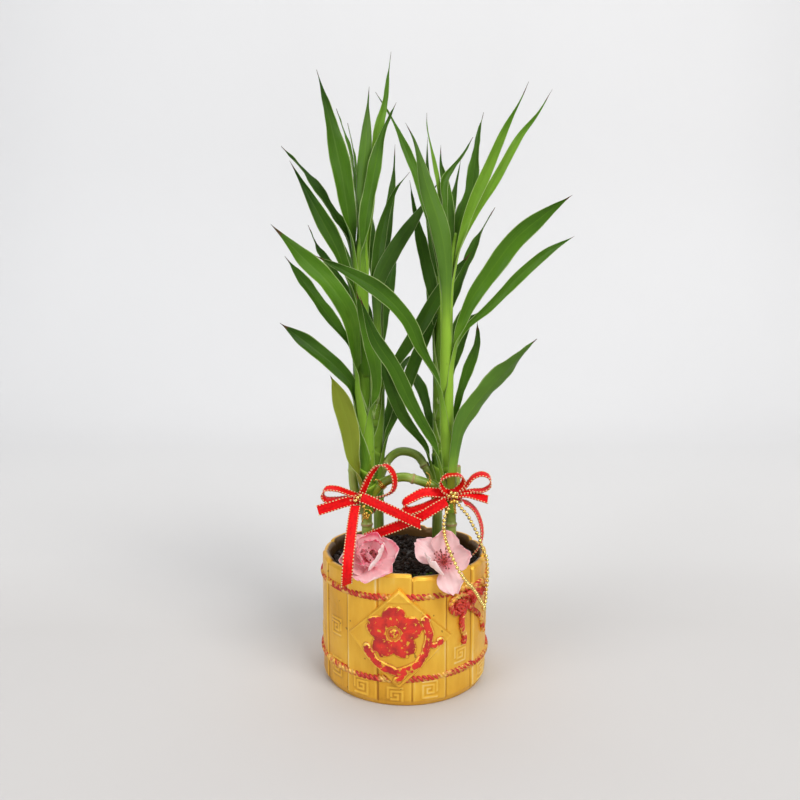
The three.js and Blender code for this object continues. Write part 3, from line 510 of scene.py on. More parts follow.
def strip(shape, points, turns, wide=RIBBON["wide"], slant=0.0):
    """Adds a strip of ribbon to a shape, and gives its route and the lines of its edges."""
    route = Route(points)
    columns = RIBBON["columns"]
    rows = max(8, int(route.length / RIBBON["step"]))
    start, end = (unit(np.array(t, float)) for t in turns)
    middle, normal = np.zeros((2, rows + 1, columns, 3))
    uvs = np.zeros((rows + 1, columns, 2))
    for i, share in enumerate(even(rows)):
        heading = route.heading(share)
        width = start * (1 - share) + end * share
        width = unit(width - heading * width.dot(heading))
        face = np.cross(heading, width)
        for j in range(columns):
            w = 2 * j / (columns - 1) - 1
            dip = RIBBON["cup"] * (1 - w * w)
            short = slant * (1 + w) / 2 / route.length * smooth(share, 0.6, 1)
            middle[i, j] = route.point(share - short) + width * (w * wide / 2) + face * dip
            normal[i, j] = unit(face + width * (2 * RIBBON["cup"] * w / (wide / 2)))
            uvs[i, j] = (j / (columns - 1), share * route.length)
    shape.sheet(middle, normal, RIBBON["thick"], uvs)
    lift = RIBBON["thick"] / 2 + STITCH["radius"] * STITCH["sunk"]
    edges = []
    for side in (RIBBON["edge"], -RIBBON["edge"]):
        w = (columns - 1) / 2 * (1 + 2 * side)
        low = int(w)
        line = middle[:, low] * (1 - w + low) + middle[:, min(low + 1, columns - 1)] * (w - low)
        edges += [line + normal[:, low] * lift * face for face in (1, -1)]
    return route, edges


def stitch_tree():
    tree, given = new_tree("stitches_on_edges", ("Pitch", "Long", "Radius"), "Thread")
    points = points_along(given)
    grain = node(tree, "GeometryNodeMeshIcoSphere", {"Radius": given["Radius"], "Subdivisions": 1})
    stretch = given["Long"] / (given["Radius"] * 2.0)
    size = node(tree, "ShaderNodeCombineXYZ", {"X": 1.0, "Y": 1.0, "Z": stretch})
    inputs = {"Points": points, "Instance": grain, "Rotation": points["Rotation"], "Scale": size}
    return end_tree(node(tree, "GeometryNodeInstanceOnPoints", inputs), given["Thread"])


STITCHES = stitch_tree()


def stitched(name, lines):
    values = {label.title(): STITCH[label] * MM for label in ("pitch", "long", "radius")}
    return grown(line_object(name, lines), STITCHES, name, Thread=GOLD_THREAD, **values)


# %% [markdown]
# The four long ribbon ends hang from their knots as they fell: cut off, with nothing at their far
# ends. Each is a flat cord 6 mm wide, so its route repeats the imported solid's route and its length is
# what the photo shows.

# %% Ribbon ends
TAILS = {
    "left_front": {
        "turns": [(1, 0, 0.1), (1, 0.2, 0)],
        "way": [(-28.4, -25, 106.6), (-28.8, -29, 104.2), (-29.4, -38.6, 98.4), (-29.9, -49.4, 91.4),
                (-30.4, -55.4, 85), (-31, -56, 77), (-31.6, -51.8, 69.6)],
    },
    "left_right": {
        "turns": [(0.3, 0.1, 1), (0.4, 0, 1)],
        "way": [(-25, -24, 111.4), (-22.2, -25, 110.6), (-15.5, -26.8, 108), (-6.3, -29.4, 104.4),
                (2.2, -30.8, 100.5), (9.8, -31.6, 97.2)],
    },
    "right_long": {
        "turns": [(-0.4, 0.1, 1), (-0.4, 0, 1)],
        "way": [(23.8, -25.4, 109.4), (16, -27, 105.2), (7.9, -27.2, 100.3), (-4, -26.8, 95.4),
                (-15.6, -24.6, 90.4), (-24.9, -22, 85.9)],
    },
    "right_edge": {
        "turns": [(0.4, 1, 0), (0.4, 1, 0.1)],
        "way": [(33.4, -24.4, 108.6), (36.8, -22, 106.8), (41.3, -20, 102), (44.4, -19, 94.3),
                (45.1, -18.6, 86.5), (43.4, -17.6, 79.8), (39.4, -16.6, 74.8)],
    },
}

for name, tail in TAILS.items():
    shape = Shape()
    route, edges = strip(shape, tail["way"], tail["turns"], slant=CUT_SLANT)
    ribbon = shape.piece(f"ribbon_tail_{name}_satin", RED_SATIN)
    finished(ribbon, f"ribbon_tail_{name}", slot="ribbon")
    stitches = finished(stitched(f"ribbon_tail_{name}_stitches", edges), slot="ribbon")
    path = [route.point(share) * MM for share in even(24)]
    print(f"ribbon end {name}: {route.length:.0f} mm")

# %% [markdown]
# The bead chain is one limp loop: it leaves the right knot, falls over the blossom and the pot's
# side, turns at a small gold bead, and comes back up. The beads sit on a thread one pitch apart, so
# Geometry Nodes place one bead on each point of the resampled line.

# %% Bead chain
CHAIN = {"bead": 2.15, "pitch": 2.45, "thread": 0.4}
CHAIN_WAY = [
    (24.6, -28.2, 105.8), (22.6, -30.2, 102.2), (21.6, -34, 97.6), (22, -41, 92.8), (23.4, -48, 89),
    (25.6, -53.6, 84.6), (28.8, -56, 78.6), (32.4, -53.4, 72.8), (36.3, -48.4, 67.4), (40.2, -42.6, 60.3),
    (42.6, -38.6, 55), (44.8, -34.6, 51.8), (46, -31, 53.6), (46.8, -27.4, 57), (47.6, -25.6, 62.9),
    (47.6, -25.4, 70), (47, -25.4, 76.4), (44.6, -25.6, 82.1), (41.9, -25.6, 89.7), (39, -25.4, 95.4),
    (35.6, -25.6, 101.6), (32, -26.4, 105.8), (29.6, -27.4, 109.4),
]


CLASP_WAY = [(44.8, -34.6, 51.6), (44.7, -34.4, 50.2), (44.5, -34, 48.4)]


def bead_tree():
    tree, given = new_tree("beads_on_thread", ("Pitch", "Bead", "Thread"), "Gold")
    ball = node(tree, "GeometryNodeMeshIcoSphere", {"Radius": given["Bead"], "Subdivisions": 3})
    beads = node(tree, "GeometryNodeInstanceOnPoints", {"Points": points_along(given), "Instance": ball})
    ring = node(tree, "GeometryNodeCurvePrimitiveCircle", {"Radius": given["Thread"], "Resolution": 8})
    inputs = {"Curve": given["Geometry"], "Profile Curve": ring, "Fill Caps": True}
    thread = node(tree, "GeometryNodeCurveToMesh", inputs)
    both = node(tree, "GeometryNodeJoinGeometry")
    for part in (beads, thread):
        feed(both.node, {0: part})
    return end_tree(both, given["Gold"])


def clasp_radius(share):
    return 0.5 + 0.9 * math.sin(math.pi * min(share * 1.02, 1)) ** 0.5


chain_route = Route(CHAIN_WAY)
chain_line = [chain_route.point(share) for share in even(160)]
chain = grown(line_object("chain_line", [chain_line]), bead_tree(), "bead_chain_beads", Gold=GOLD_BEAD,
              Pitch=CHAIN["pitch"] * MM, Bead=CHAIN["bead"] / 2 * MM, Thread=CHAIN["thread"] / 2 * MM)
finished(chain, "bead_chain_inner", "bead_chain_outer", slot="gold_bead")

clasp = Shape()
clasp.add(*tube(Route(CLASP_WAY), clasp_radius, even(14), 14))
clasp = finished(clasp.piece("bead_chain_end", GOLD_BEAD), "bead_chain_clasp", slot="gold_bead")
path = [p * MM for p in chain_line[::3]]
print(f"bead chain: {chain_route.length:.0f} mm")

# %% [markdown]
# The pot is one casting in the form of sixteen bamboo slips that stand side by side. A casting is one
# skin with soft relief, so its wall is a fine grid round the axis whose radius comes from a formula:
# each slip is a little proud or shy of the next, and small fret panels rise from some of them.

# %% Pot dimensions
POT = {"radius": 50.0, "height": 74.4, "wall": 4.6, "floor": 6.0, "foot": 46.8}
SLIPS = {"count": 16, "turn": 4.5, "groove": 0.62, "groove_wide": 0.045, "step": 0.28, "lean": 0.5}
SLIP_TOPS = [-1.1, 0.4, -0.5, 0.2, -1.4, 0.1, -0.7, 0.5, -0.2, -1.2, 0.3, -0.6, 0.4, -0.9, 0.2, 0.6]
ROPE = {"low": 16.0, "high": 62.0, "radius": 2.2, "sunk": 0.75, "lay": 8.4, "groove": 0.55, "strands": 3}
PLAQUE = {"turn": -4.0, "height": 39.3, "half_turn": 34.2, "half_height": 28.0, "rise": 2.0, "side": 41.0,
          "sunk": 1.6}
FRETS = [(-29.3, 9.5, 1), (15.8, 9.5, -1), (38.3, 25.5, 1), (-51.8, 38, -1), (-6.5, 6.2, 1), (60.8, 9, 1),
         (-51.8, 14, 1), (-74, 27, 1), (83, 34, -1), (105.8, 40, 1), (128, 12, -1), (150.8, 27, 1),
         (173, 44, -1), (195.8, 40, 1), (218, 12, 1), (240.8, 27, -1), (263, 42, 1)]
FRET_LINES = [[(-4, -4.4), (4, -4.4), (4, 2.6), (-2.2, 2.6), (-2.2, -2), (1.6, -2), (1.6, 0.6), (0, 0.6)],
              [(-4, -1.2), (-4, 4.6), (4, 4.6)]]
FRET_RISE = 0.36


def round_pot(turn, height, radius):
    """A point round the pot; the turn is in degrees from the front, to the right."""
    a = np.radians(turn)
    return np.stack(np.broadcast_arrays(radius * np.sin(a), -radius * np.cos(a), height), -1)


def ripple(x, y, seed, scale):
    """A soft random wave from -1 to 1, the same in each run."""
    total = np.zeros(np.broadcast(x, y).shape)
    draw = random.Random(seed)
    for _ in range(7):
        a, b, phase = draw.uniform(-1, 1), draw.uniform(-1, 1), draw.uniform(0, 6.28)
        total = total + np.sin((a * x + b * y) * scale + phase)
    return total / 4.5


def near_line(x, y, line):
    """The distance from each point to a broken line."""
    best = np.full(np.broadcast(x, y).shape, 1e9)
    for (ax, ay), (bx, by) in zip(line, line[1:]):
        dx, dy = bx - ax, by - ay
        t = np.clip(((x - ax) * dx + (y - ay) * dy) / (dx * dx + dy * dy), 0, 1)
        best = np.minimum(best, np.hypot(x - ax - t * dx, y - ay - t * dy))
    return best


def slip_place(turn):
    """Which slip a turn falls on, how far across it, and how far from its nearer edge."""
    share = ((turn - SLIPS["turn"]) % 360) / (360 / SLIPS["count"])
    across = share % 1
    return np.floor(share).astype(int) % SLIPS["count"], across, np.minimum(across, 1 - across)


def slip_top(turn):
    slip, _, edge = slip_place(turn)
    dip = 0.7 * (1 - smooth(edge, 0.0, 0.06)) + 0.35 * (1 - smooth(edge, 0.0, 0.2))
    return POT["height"] + np.array(SLIP_TOPS)[slip] - dip + 0.22 * ripple(turn, 0, 5, 0.35)


def pot_relief(turn, height):
    """How far the wall stands off its radius, in millimetres."""
    slip, across, edge = slip_place(turn)
    rise = np.where(slip % 2 == 0, SLIPS["step"], -SLIPS["step"])
    rise = rise + SLIPS["lean"] * (across - 0.5) * np.where(slip % 3 == 0, 1, -1)
    rise = rise - SLIPS["groove"] * (1 - smooth(edge, 0.005, SLIPS["groove_wide"]))
    for at, up, way in FRETS:
        x = np.radians((turn - at + 180) % 360 - 180) * POT["radius"] * way
        close = np.minimum.reduce([near_line(x, height - up, line) for line in FRET_LINES])
        rise = rise + FRET_RISE * (1 - smooth(close, 0.25, 0.95))
    return rise + 0.16 * ripple(turn, height * 2.0, 3, 0.11) + 0.05 * ripple(turn, height, 4, 0.5)


# %% [markdown]
# The wall's columns stand closer together at the front, where the relief is read, and wider apart
# behind. From the outside the skin goes over the uneven rim, down the inside and across the floor.

# %% Pot wall
WALL = {"front": 95, "front_step": 0.6, "back_step": 1.2, "rows": 140, "inner_rows": 12, "low": 1.2,
        "tuck": 1.4}
FOOT_RINGS = [(0, 0.0), (0.15, 1.6)]
RIM = [(0.0, 1.5), (0.25, 0.6), (0.9, 0.12), (1.8, 0.0), (2.9, 0.12), (3.8, 0.8), (4.4, 2.2)]
RIM_INNER = 3


def soften(values, times):
    """A blurred copy of a grid that closes on itself round the pot."""
    for _ in range(times):
        across = (np.roll(values, 1, 1) + np.roll(values, -1, 1) + 2 * values) / 4
        values = across.copy()
        values[1:-1] = (across[:-2] + across[2:] + 2 * across[1:-1]) / 4
    return values


def hollows(rise, times, depth):
    """How far each point of a relief lies below its surroundings, from -1 to 1."""
    return np.clip((soften(rise, times) - rise) / depth, -1, 1)


def pot_wall():
    front = np.arange(-WALL["front"], WALL["front"], WALL["front_step"])
    back = np.arange(WALL["front"], 360 - WALL["front"], WALL["back_step"])
    turn = np.concatenate([front, back])
    top = slip_top(turn)
    share = np.linspace(0, 1, WALL["rows"])[:, None]
    height = WALL["low"] + share * (top - RIM[0][1] - WALL["low"])
    rise = pot_relief(turn[None], height) * smooth(height, 1.0, 4.0)
    rings = [round_pot(turn, up, POT["foot"] + out) for up, out in FOOT_RINGS]
    rings += [*round_pot(turn, height, POT["radius"] - WALL["tuck"] * (1 - smooth(height, 0.6, 4)) + rise)]
    for inset, below in RIM:
        radius = POT["radius"] - inset + rise[-1] * (1 - inset / POT["wall"])
        rings.append(round_pot(turn, top - below, radius))
    inner = len(rings) - RIM_INNER
    inside = POT["radius"] - POT["wall"]
    for level in np.linspace(POT["height"] - POT["wall"], POT["floor"], WALL["inner_rows"]):
        rings.append(round_pot(turn, level, inside + 0.15 * ripple(turn, level, 8, 0.2)))
    columns = len(turn)
    hollow = np.zeros((len(rings), columns))
    # The hollow number drives the painted shade in the grooves and the painted highlight on the ridges.
    hollow[len(FOOT_RINGS) : len(FOOT_RINGS) + WALL["rows"]] = hollows(rise, 6, 0.3)
    lined = np.repeat(np.arange(len(rings)) >= inner, columns)
    faces = grid_faces(len(rings), columns, ring=True)
    size = len(rings) * columns
    for j in range(columns):
        after = (j + 1) % columns
        faces += [(after, j, size), (size - columns + j, size - columns + after, size + 1)]
    shape = Shape()
    shape.add(np.vstack([*rings, [0, 0, 0], [0, 0, POT["floor"]]]), faces, red=0,
              hollow=np.append(hollow, [0, 0]), inner=np.append(lined, [0, 1]))
    return shape


# %% [markdown]
# The pot is painted a warm satin gold, with painted shade darkening the grooves and a painted highlight
# brightening the ridges. A red paint lies over the ropes and the ornament, where a number says so.

# %% Pot paint
GOLD_LIGHT, GOLD_MID, GOLD_DARK = (0.94, 0.56, 0.06), (0.8, 0.41, 0.028), (0.4, 0.16, 0.01)
PAINT_RED, PAINT_RED_DARK = (0.72, 0.028, 0.012), (0.42, 0.012, 0.01)
PAINT_METAL = 0.42


def pot_paint():
    made, tree = new_finish("gold_pot_paint")
    spot, hollow = place(tree), number(tree, "hollow")
    broad = noise(spot, 28.0, 2.0)
    fine = noise(spot, 420.0, 4.0, 0.6)
    brush = noise(mapped(spot, (1.0, 1.0, 0.2)), 210.0, 3.0, 0.6)
    # The hollow number paints shade into the grooves and a highlight onto the ridges; it also keeps the red
    # paint in the hollows.
    tone = hollow * -0.46 + broad + (brush - 0.5) * 0.42
    gold = ramp(tone, [(0.0, GOLD_DARK), (0.42, GOLD_MID), (0.75, GOLD_LIGHT), (1.0, (0.95, 0.72, 0.3))])
    inner = blend(broad, (0.05, 0.022, 0.006), (0.22, 0.11, 0.028))
    gold = blend(number(tree, "inner"), gold, inner)
    gold = blend((noise(spot, 260.0, 1.0) > 0.755) * 0.6, gold, (0.2, 0.07, 0.01))
    red = number(tree, "red") * (fine * 0.9 + hollow * 0.55 > 0.33)
    paint = ramp(noise(spot, 150.0), [(0.35, PAINT_RED_DARK), (0.55, PAINT_RED)])
    dents = fine * 0.35 + red * 0.12 + noise(spot, 95.0, 2.0)
    return painted(made, Base_Color=blend(red, gold, paint), Metallic=(1.0 - red) * PAINT_METAL,
                   Roughness=wander(fine, 0.33, 0.47), Normal=bump(dents, 0.0007, 0.8))


GOLD_PAINT = pot_paint()
finished(pot_wall().piece("pot_wall", GOLD_PAINT), "pot", slot="gold_paint")

# %% [markdown]
# The diamond plaque lies over the slips and covers both ropes. Its ornament is a plum blossom on a
# bent branch, in thick red paint. Both are soft relief, so again one grid and a formula for the rise:
# petals are rounded pads with a notch and a crease, and the branch is a brush stroke of uneven width
# with thinner twigs.

# %% Plaque
EMBLEM = {"turn": -7.0, "height": 43.0, "petal": 6.9, "spread": 9.0, "rise": 1.6}
BRANCH = [(-23, 31.5), (-18.5, 26.5), (-12, 23), (-5, 21.4), (2, 22.6), (7.4, 26), (11.4, 31), (13.8, 37),
          (14.2, 43), (12.8, 48)]
TWIGS = [[(13.8, 37), (18, 35.2), (21, 36.4)], [(2, 22.6), (-1.4, 19.2), (-4.4, 17.4)]]
BUDS = [(12.4, 50.4, 2.9), (-24, 33.6, 2.5), (21.6, 37.4, 2.3), (-4.8, 16.8, 2.1)]
PLAQUE_STEPS = 170


def pad(distance, radius):
    """A rounded pad: 1 in the middle, falling off steeply at its radius."""
    return np.sqrt(np.clip(1 - (distance / radius) ** 2, 0, 1))


def on_plaque(turn, height):
    """A place on the plaque in millimetres, from the blossom's middle."""
    return np.radians(turn - EMBLEM["turn"]) * POT["radius"], height - EMBLEM["height"]


def emblem_rise(turn, height):
    """The ornament's rise over the plaque, from 0 to its own height."""
    x, y = on_plaque(turn, height)
    x = x + 0.3 * ripple(x, y, 21, 0.9)
    y = y + 0.3 * ripple(x, y, 22, 0.9)
    rise = np.zeros(np.broadcast(x, y).shape)
    for k in range(5):
        a = math.radians(90 + 72 * k)
        px = (x * math.cos(a) + y * math.sin(a) - EMBLEM["spread"]) / EMBLEM["petal"]
        py = (-x * math.sin(a) + y * math.cos(a)) / (EMBLEM["petal"] * 0.94)
        notch = 0.22 * np.exp(-((py / 0.2) ** 2)) * smooth(px, 0.2, 1.0)
        petal = pad(np.hypot(px, py) + notch, 1.0) ** 0.7
        crease = 0.22 * np.exp(-((py / 0.14) ** 2)) * (1 - smooth(px, 0.0, 0.6))
        rise = np.maximum(rise, petal * (0.82 - crease))
    heart = np.hypot(x, y)
    rise = np.where(heart < 3.9, np.minimum(rise, 0.2), rise)
    rise = np.maximum(rise, pad(heart, 2.7))
    for lines, wide in ((BRANCH, 2.5), (TWIGS[0], 1.5), (TWIGS[1], 1.5)):
        line = [tuple(float(c) for c in on_plaque(*p)) for p in lines]
        reach = near_line(x, y, line)
        rise = np.maximum(rise, 0.85 * pad(reach, wide * (1 + 0.16 * ripple(x, y, 31, 0.7))) ** 0.6)
    for turn_at, up, radius in BUDS:
        bx, by = on_plaque(turn_at, up)
        rise = np.maximum(rise, 0.95 * pad(np.hypot(x - bx, y - by), radius) ** 0.7)
    return rise


def plaque():
    n = PLAQUE_STEPS
    u, v = np.meshgrid(np.linspace(0, 1, n), np.linspace(0, 1, n), indexing="ij")
    turn = PLAQUE["turn"] + (u - v) * PLAQUE["half_turn"]
    height = PLAQUE["height"] + (u + v - 1) * PLAQUE["half_height"]
    edge = np.minimum.reduce([u, v, 1 - u, 1 - v]) * PLAQUE["side"]
    face = PLAQUE["rise"] - 1.0 * (1 - smooth(edge, 0, 1.0)) - 0.22 * smooth(edge, 1.0, 2.6)
    face = face + 0.08 * ripple(turn, height, 41, 0.25)
    crest = smooth(u + v, 1.72, 1.76) - smooth(u + v, 1.76, 1.84)
    mark = emblem_rise(turn, height)
    rise = face + 1.15 * smooth(u + v, 1.5, 2.0) + 0.45 * crest + EMBLEM["rise"] * mark
    # The hollow number drives the painted shade in the grooves and the painted highlight on the ridges.
    hollow = hollows(rise, 5, 0.35)
    inner = np.pad(np.ones((n - 8, n - 8)), 4)
    border = border_of(n, n)
    size = n * n
    back = POT["radius"] - PLAQUE["sunk"]
    low = round_pot(turn.ravel()[border], height.ravel()[border], back)
    top = round_pot(turn, height, POT["radius"] + rise)
    points = np.vstack([top.reshape(-1, 3), low, round_pot(PLAQUE["turn"], PLAQUE["height"], back)])
    faces = grid_faces(n, n)
    for k, at in enumerate(border):
        after = (k + 1) % len(border)
        faces.append((border[after], at, size + k, size + after))
        faces.append((size + after, size + k, size + len(border)))
    extra = np.zeros(len(border) + 1)
    shape = Shape()
    shape.add(points, faces, inner=0, hollow=np.append(hollow * inner, extra),
              red=np.append(smooth(mark, 0.12, 0.3), extra))
    return shape


finished(plaque().piece("pot_plaque", GOLD_PAINT), slot="gold_paint")

# %% [markdown]
# Two moulded ropes bind the slips, and one is tied in a bow at the right. A rope is three strands laid
# round each other: Geometry Nodes sweep a three-lobed section along the path and let the tilt grow
# with the length, so that the lobes wind like strands.

# %% Ropes
def rope_tree():
    tree, given = new_tree("laid_rope", ("Radius", "Lay", "Groove"), "Paint")
    run = node(tree, "GeometryNodeSplineParameter")["Length"]
    turned = node(tree, "GeometryNodeSetCurveTilt", {"Curve": given["Geometry"], "Tilt": run * given["Lay"]})
    circle = node(tree, "GeometryNodeCurvePrimitiveCircle", {"Radius": given["Radius"], "Resolution": 24})
    spot = node(tree, "GeometryNodeInputPosition")
    angle = apart(spot)["Y"].sum("ARCTAN2", apart(spot)["X"])
    wave = abs((angle * (ROPE["strands"] / 2)).sum("COSINE"))
    valley = (1.0 - wave) ** 2.0
    inputs = {"Geometry": circle, "Name": "valley", "Value": valley}
    marked = node(tree, "GeometryNodeStoreNamedAttribute", inputs)
    lobes = scaled(spot, 1.0 - valley * given["Groove"])
    section = node(tree, "GeometryNodeSetPosition", {"Geometry": marked, "Position": lobes})
    inputs = {"Curve": turned, "Profile Curve": section, "Fill Caps": True}
    return end_tree(node(tree, "GeometryNodeCurveToMesh", inputs), given["Paint"])


def rope_paint():
    made, tree = new_finish("rope_paint")
    spot = place(tree)
    fine = noise(spot, 500.0)
    patch = noise(mapped(spot, (1.0, 1.0, 2.5)), 60.0, 3.0, 0.65)
    chips = noise(spot, 330.0, 2.0) * 0.55
    cover = ramp(patch + chips - number(tree, "valley") * 0.15, [(0.63, 0.0), (0.76, 1.0)])
    gold = ramp(fine, [(0.3, GOLD_MID), (0.7, (0.95, 0.66, 0.2))])
    red = ramp(fine, [(0.3, PAINT_RED_DARK), (0.6, (0.66, 0.045, 0.02))])
    return painted(made, Base_Color=blend(cover, gold, red), Metallic=(1.0 - cover) * 0.4,
                   Roughness=wander(fine, 0.38, 0.52), Normal=bump(fine, 0.00012, 0.6))


ROPE_PAINT, LAID_ROPE = rope_paint(), rope_tree()
ROPE_BOW = {
    "loops": {"off": 50.7, "thick": 1.75, "lines": [
        [(44.5, 56.6), (40, 59.4), (34.6, 59.6), (30.4, 56.8), (30.6, 52.6), (35, 50.2), (40, 52),
         (44.5, 55)],
        [(43.5, 55.6), (39.4, 56.6), (35.4, 55.6), (34.6, 53.6), (38, 53.4), (43.5, 54.6)],
        [(46, 56.4), (50, 60.4), (55.4, 62.6), (61.6, 61.6), (63.4, 58), (59, 55), (52.4, 54.8), (46, 55)],
        [(46, 57), (50.4, 57.6), (55, 59.2), (58.6, 58.4), (55.4, 57.2), (50, 56.2)]]},
    "tails": {"off": 50.7, "thick": 1.7, "lines": [
        [(43.8, 55), (40.4, 50), (38.6, 45), (39.4, 40), (41, 36), (40.4, 31.4)],
        [(45.6, 54), (48.6, 49.4), (53.6, 46), (58.4, 42), (61.6, 37), (63.4, 31.6)]]},
    "knot": {"off": 51.4, "thick": 1.8, "lines": [
        [(41.4, 58), (45, 59.4), (48.6, 57.4), (48.2, 53.6), (44.6, 52), (41.4, 54), (41.6, 57.4)]]},
}
ROPE_STEPS = 10


def rope_lines(off, rows):
    """Lines at one distance from the pot's axis, from rows of (turn, height)."""
    routes = [Route([round_pot(turn, height, off) for turn, height in row]) for row in rows]
    return [[route.point(share) for share in even(len(row) * ROPE_STEPS)] for route, row in zip(routes, rows)]


def rope(name, lines, radius, cyclic=False):
    source = line_object(name, lines)
    for spline in source.data.splines:
        spline.use_cyclic_u = cyclic
    values = {"Radius": radius * MM, "Lay": 2 * math.pi / (ROPE["lay"] * MM), "Groove": ROPE["groove"]}
    return finished(grown(source, LAID_ROPE, name, Paint=ROPE_PAINT, **values), slot="gold_paint")


for name in ("low", "high"):
    turns = np.arange(0, 360, 0.9)
    heights = ROPE[name] + 0.35 * np.sin(np.radians(3 * turns))
    ring = round_pot(turns, heights, POT["radius"] - ROPE["sunk"])
    rope(f"pot_rope_{name}", [ring], ROPE["radius"], cyclic=True)
for name, part in ROPE_BOW.items():
    rope(f"pot_rope_bow_{name}", rope_lines(part["off"], part["lines"]), part["thick"])

# %% [markdown]
# The soil is black, wet and lumpy. The bed is one closed body with a rough top that follows the packed
# soil, and Geometry Nodes scatter crumbs over it, each a small rough lump with its own size and turn.

# %% Soil
SOIL = {"level": 67.6, "radius": 45.0, "depth": 8.0, "rings": 40, "sides": 120, "heart": 0.02,
        "cells": 40, "margin": 2.2}


def soil_top(x, y):
    lumps = 0.9 * ripple(x, y, 51, 0.35) + 0.5 * ripple(x, y, 52, 0.9) + 0.25 * ripple(x, y, 53, 2.2)
    return SOIL["level"] + lumps


def soil_bed():
    turn = np.linspace(0, 2 * math.pi, SOIL["sides"], endpoint=False)
    rings = []
    for share in np.linspace(1, SOIL["heart"], SOIL["rings"]):
        x, y = SOIL["radius"] * share * np.cos(turn), SOIL["radius"] * share * np.sin(turn)
        rings.append(np.stack([x, y, soil_top(x, y)], -1))
    low = rings[0].copy()
    low[:, 2] = SOIL["level"] - SOIL["depth"]
    rings = [low * [SOIL["heart"], SOIL["heart"], 1], low, *rings]
    faces = grid_faces(len(rings), SOIL["sides"], ring=True)
    foot = tuple(range(SOIL["sides"]))
    last = (len(rings) - 1) * SOIL["sides"]
    faces += [foot[::-1], tuple(last + j for j in foot)]
    shape = Shape()
    shape.add(np.concatenate(rings), faces)
    return shape


def soil_finish(name, dark, light, wet):
    made, tree = new_finish(name)
    grain = noise(place(tree), 700.0, 5.0, 0.65)
    rough = ramp(noise(place(tree), 160.0), [(0.4, wet), (0.62, 0.85)])
    return painted(made, Base_Color=ramp(grain, [(0.35, dark), (0.7, light)]), Roughness=rough,
                   Specular_IOR_Level=0.2, Normal=bump(grain, 0.0004, 0.9))


SOIL_BLACK = soil_finish("damp_soil", (0.0035, 0.0016, 0.0008), (0.032, 0.014, 0.006), 0.3)
MOSS_GREEN = soil_finish("moss", (0.015, 0.05, 0.004), (0.12, 0.24, 0.02), 0.6)
finished(soil_bed().piece("soil_bed", SOIL_BLACK), "soil", slot="soil")


def random_vector(tree, low, high, seed):
    inputs = {0: low, 1: high, "Seed": seed}
    return node(tree, "FunctionNodeRandomValue", inputs, data_type="FLOAT_VECTOR")


def crumb_tree():
    tree, given = new_tree("scattered_crumbs", ("Density", "Smallest", "Largest"), "Earth", Seed="Int")
    inputs = {"Mesh": given["Geometry"], "Density": given["Density"], "Seed": given["Seed"]}
    spread = node(tree, "GeometryNodeDistributePointsOnFaces", inputs)
    inputs = {2: given["Smallest"], 3: given["Largest"], "Seed": given["Seed"]}
    size = node(tree, "FunctionNodeRandomValue", inputs)[1]
    form = random_vector(tree, (0.7, 0.6, 0.4), (1.2, 1.0, 0.9), 7)
    turn = random_vector(tree, (0, 0, 0), (6.28, 6.28, 6.28), 3)
    lump = node(tree, "GeometryNodeMeshIcoSphere", {"Radius": 1.0, "Subdivisions": 2})
    inputs = {"Points": spread, "Instance": lump, "Rotation": turn, "Scale": scaled(form, size)}
    crumbs = node(tree, "GeometryNodeInstanceOnPoints", inputs)
    real = node(tree, "GeometryNodeRealizeInstances", {"Geometry": crumbs})
    rough = node(tree, "ShaderNodeTexNoise", {"Scale": 420.0, "Detail": 1.0})["Color"]
    push = node(tree, "ShaderNodeVectorMath", {0: rough, 1: (0.5, 0.5, 0.5)}, operation="SUBTRACT")
    broken = node(tree, "GeometryNodeSetPosition", {"Geometry": real, "Offset": scaled(push, 0.0018)})
    return end_tree(broken, given["Earth"])


CRUMBS = crumb_tree()
SCATTERED = {
    "soil_crumbs": {"where": lambda x, y: True, "finish": SOIL_BLACK, "seed": 4, "density": 190000.0,
                    "largest": 2.5},
    "moss_tufts": {"where": lambda x, y: math.hypot(x - 10, (y + 33) * 1.4) < 7, "finish": MOSS_GREEN,
                   "seed": 9, "density": 900000.0, "largest": 1.3},
}
SMALLEST_CRUMB = 0.4


def soil_patch(name, where):
    """The soil's top as loose squares, for those whose first corner passes a test."""
    steps = np.linspace(-SOIL["radius"], SOIL["radius"], SOIL["cells"] + 1)
    cell = steps[1] - steps[0]
    shape = Shape()
    for x in steps[:-1]:
        for y in steps[:-1]:
            within = math.hypot(x + cell / 2, y + cell / 2) < SOIL["radius"] - SOIL["margin"]
            if within and where(x, y):
                corners = [(x, y), (x + cell, y), (x + cell, y + cell), (x, y + cell)]
                shape.add([(a, b, float(soil_top(a, b))) for a, b in corners], [(0, 1, 2, 3)])
    return shape.piece(name)


for name, row in SCATTERED.items():
    lumps = grown(soil_patch(f"{name}_ground", row["where"]), CRUMBS, name, Earth=row["finish"],
                  Seed=row["seed"], Density=row["density"], Smallest=SMALLEST_CRUMB * MM,
                  Largest=row["largest"] * MM)
    finished(lumps, slot="soil")

# %% [markdown]
# Two plants stand in the soil. Each is one cane bent into an arch, with a leafy shoot on each of its
# shoulders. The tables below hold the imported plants' numbers: where each cane and shoot runs, and
# for each leaf the height it leaves the shoot at, its width, the way it faces and the way it goes.
# Two low leaves of the right shoot start lower here, because a finer foot has room behind the bow.

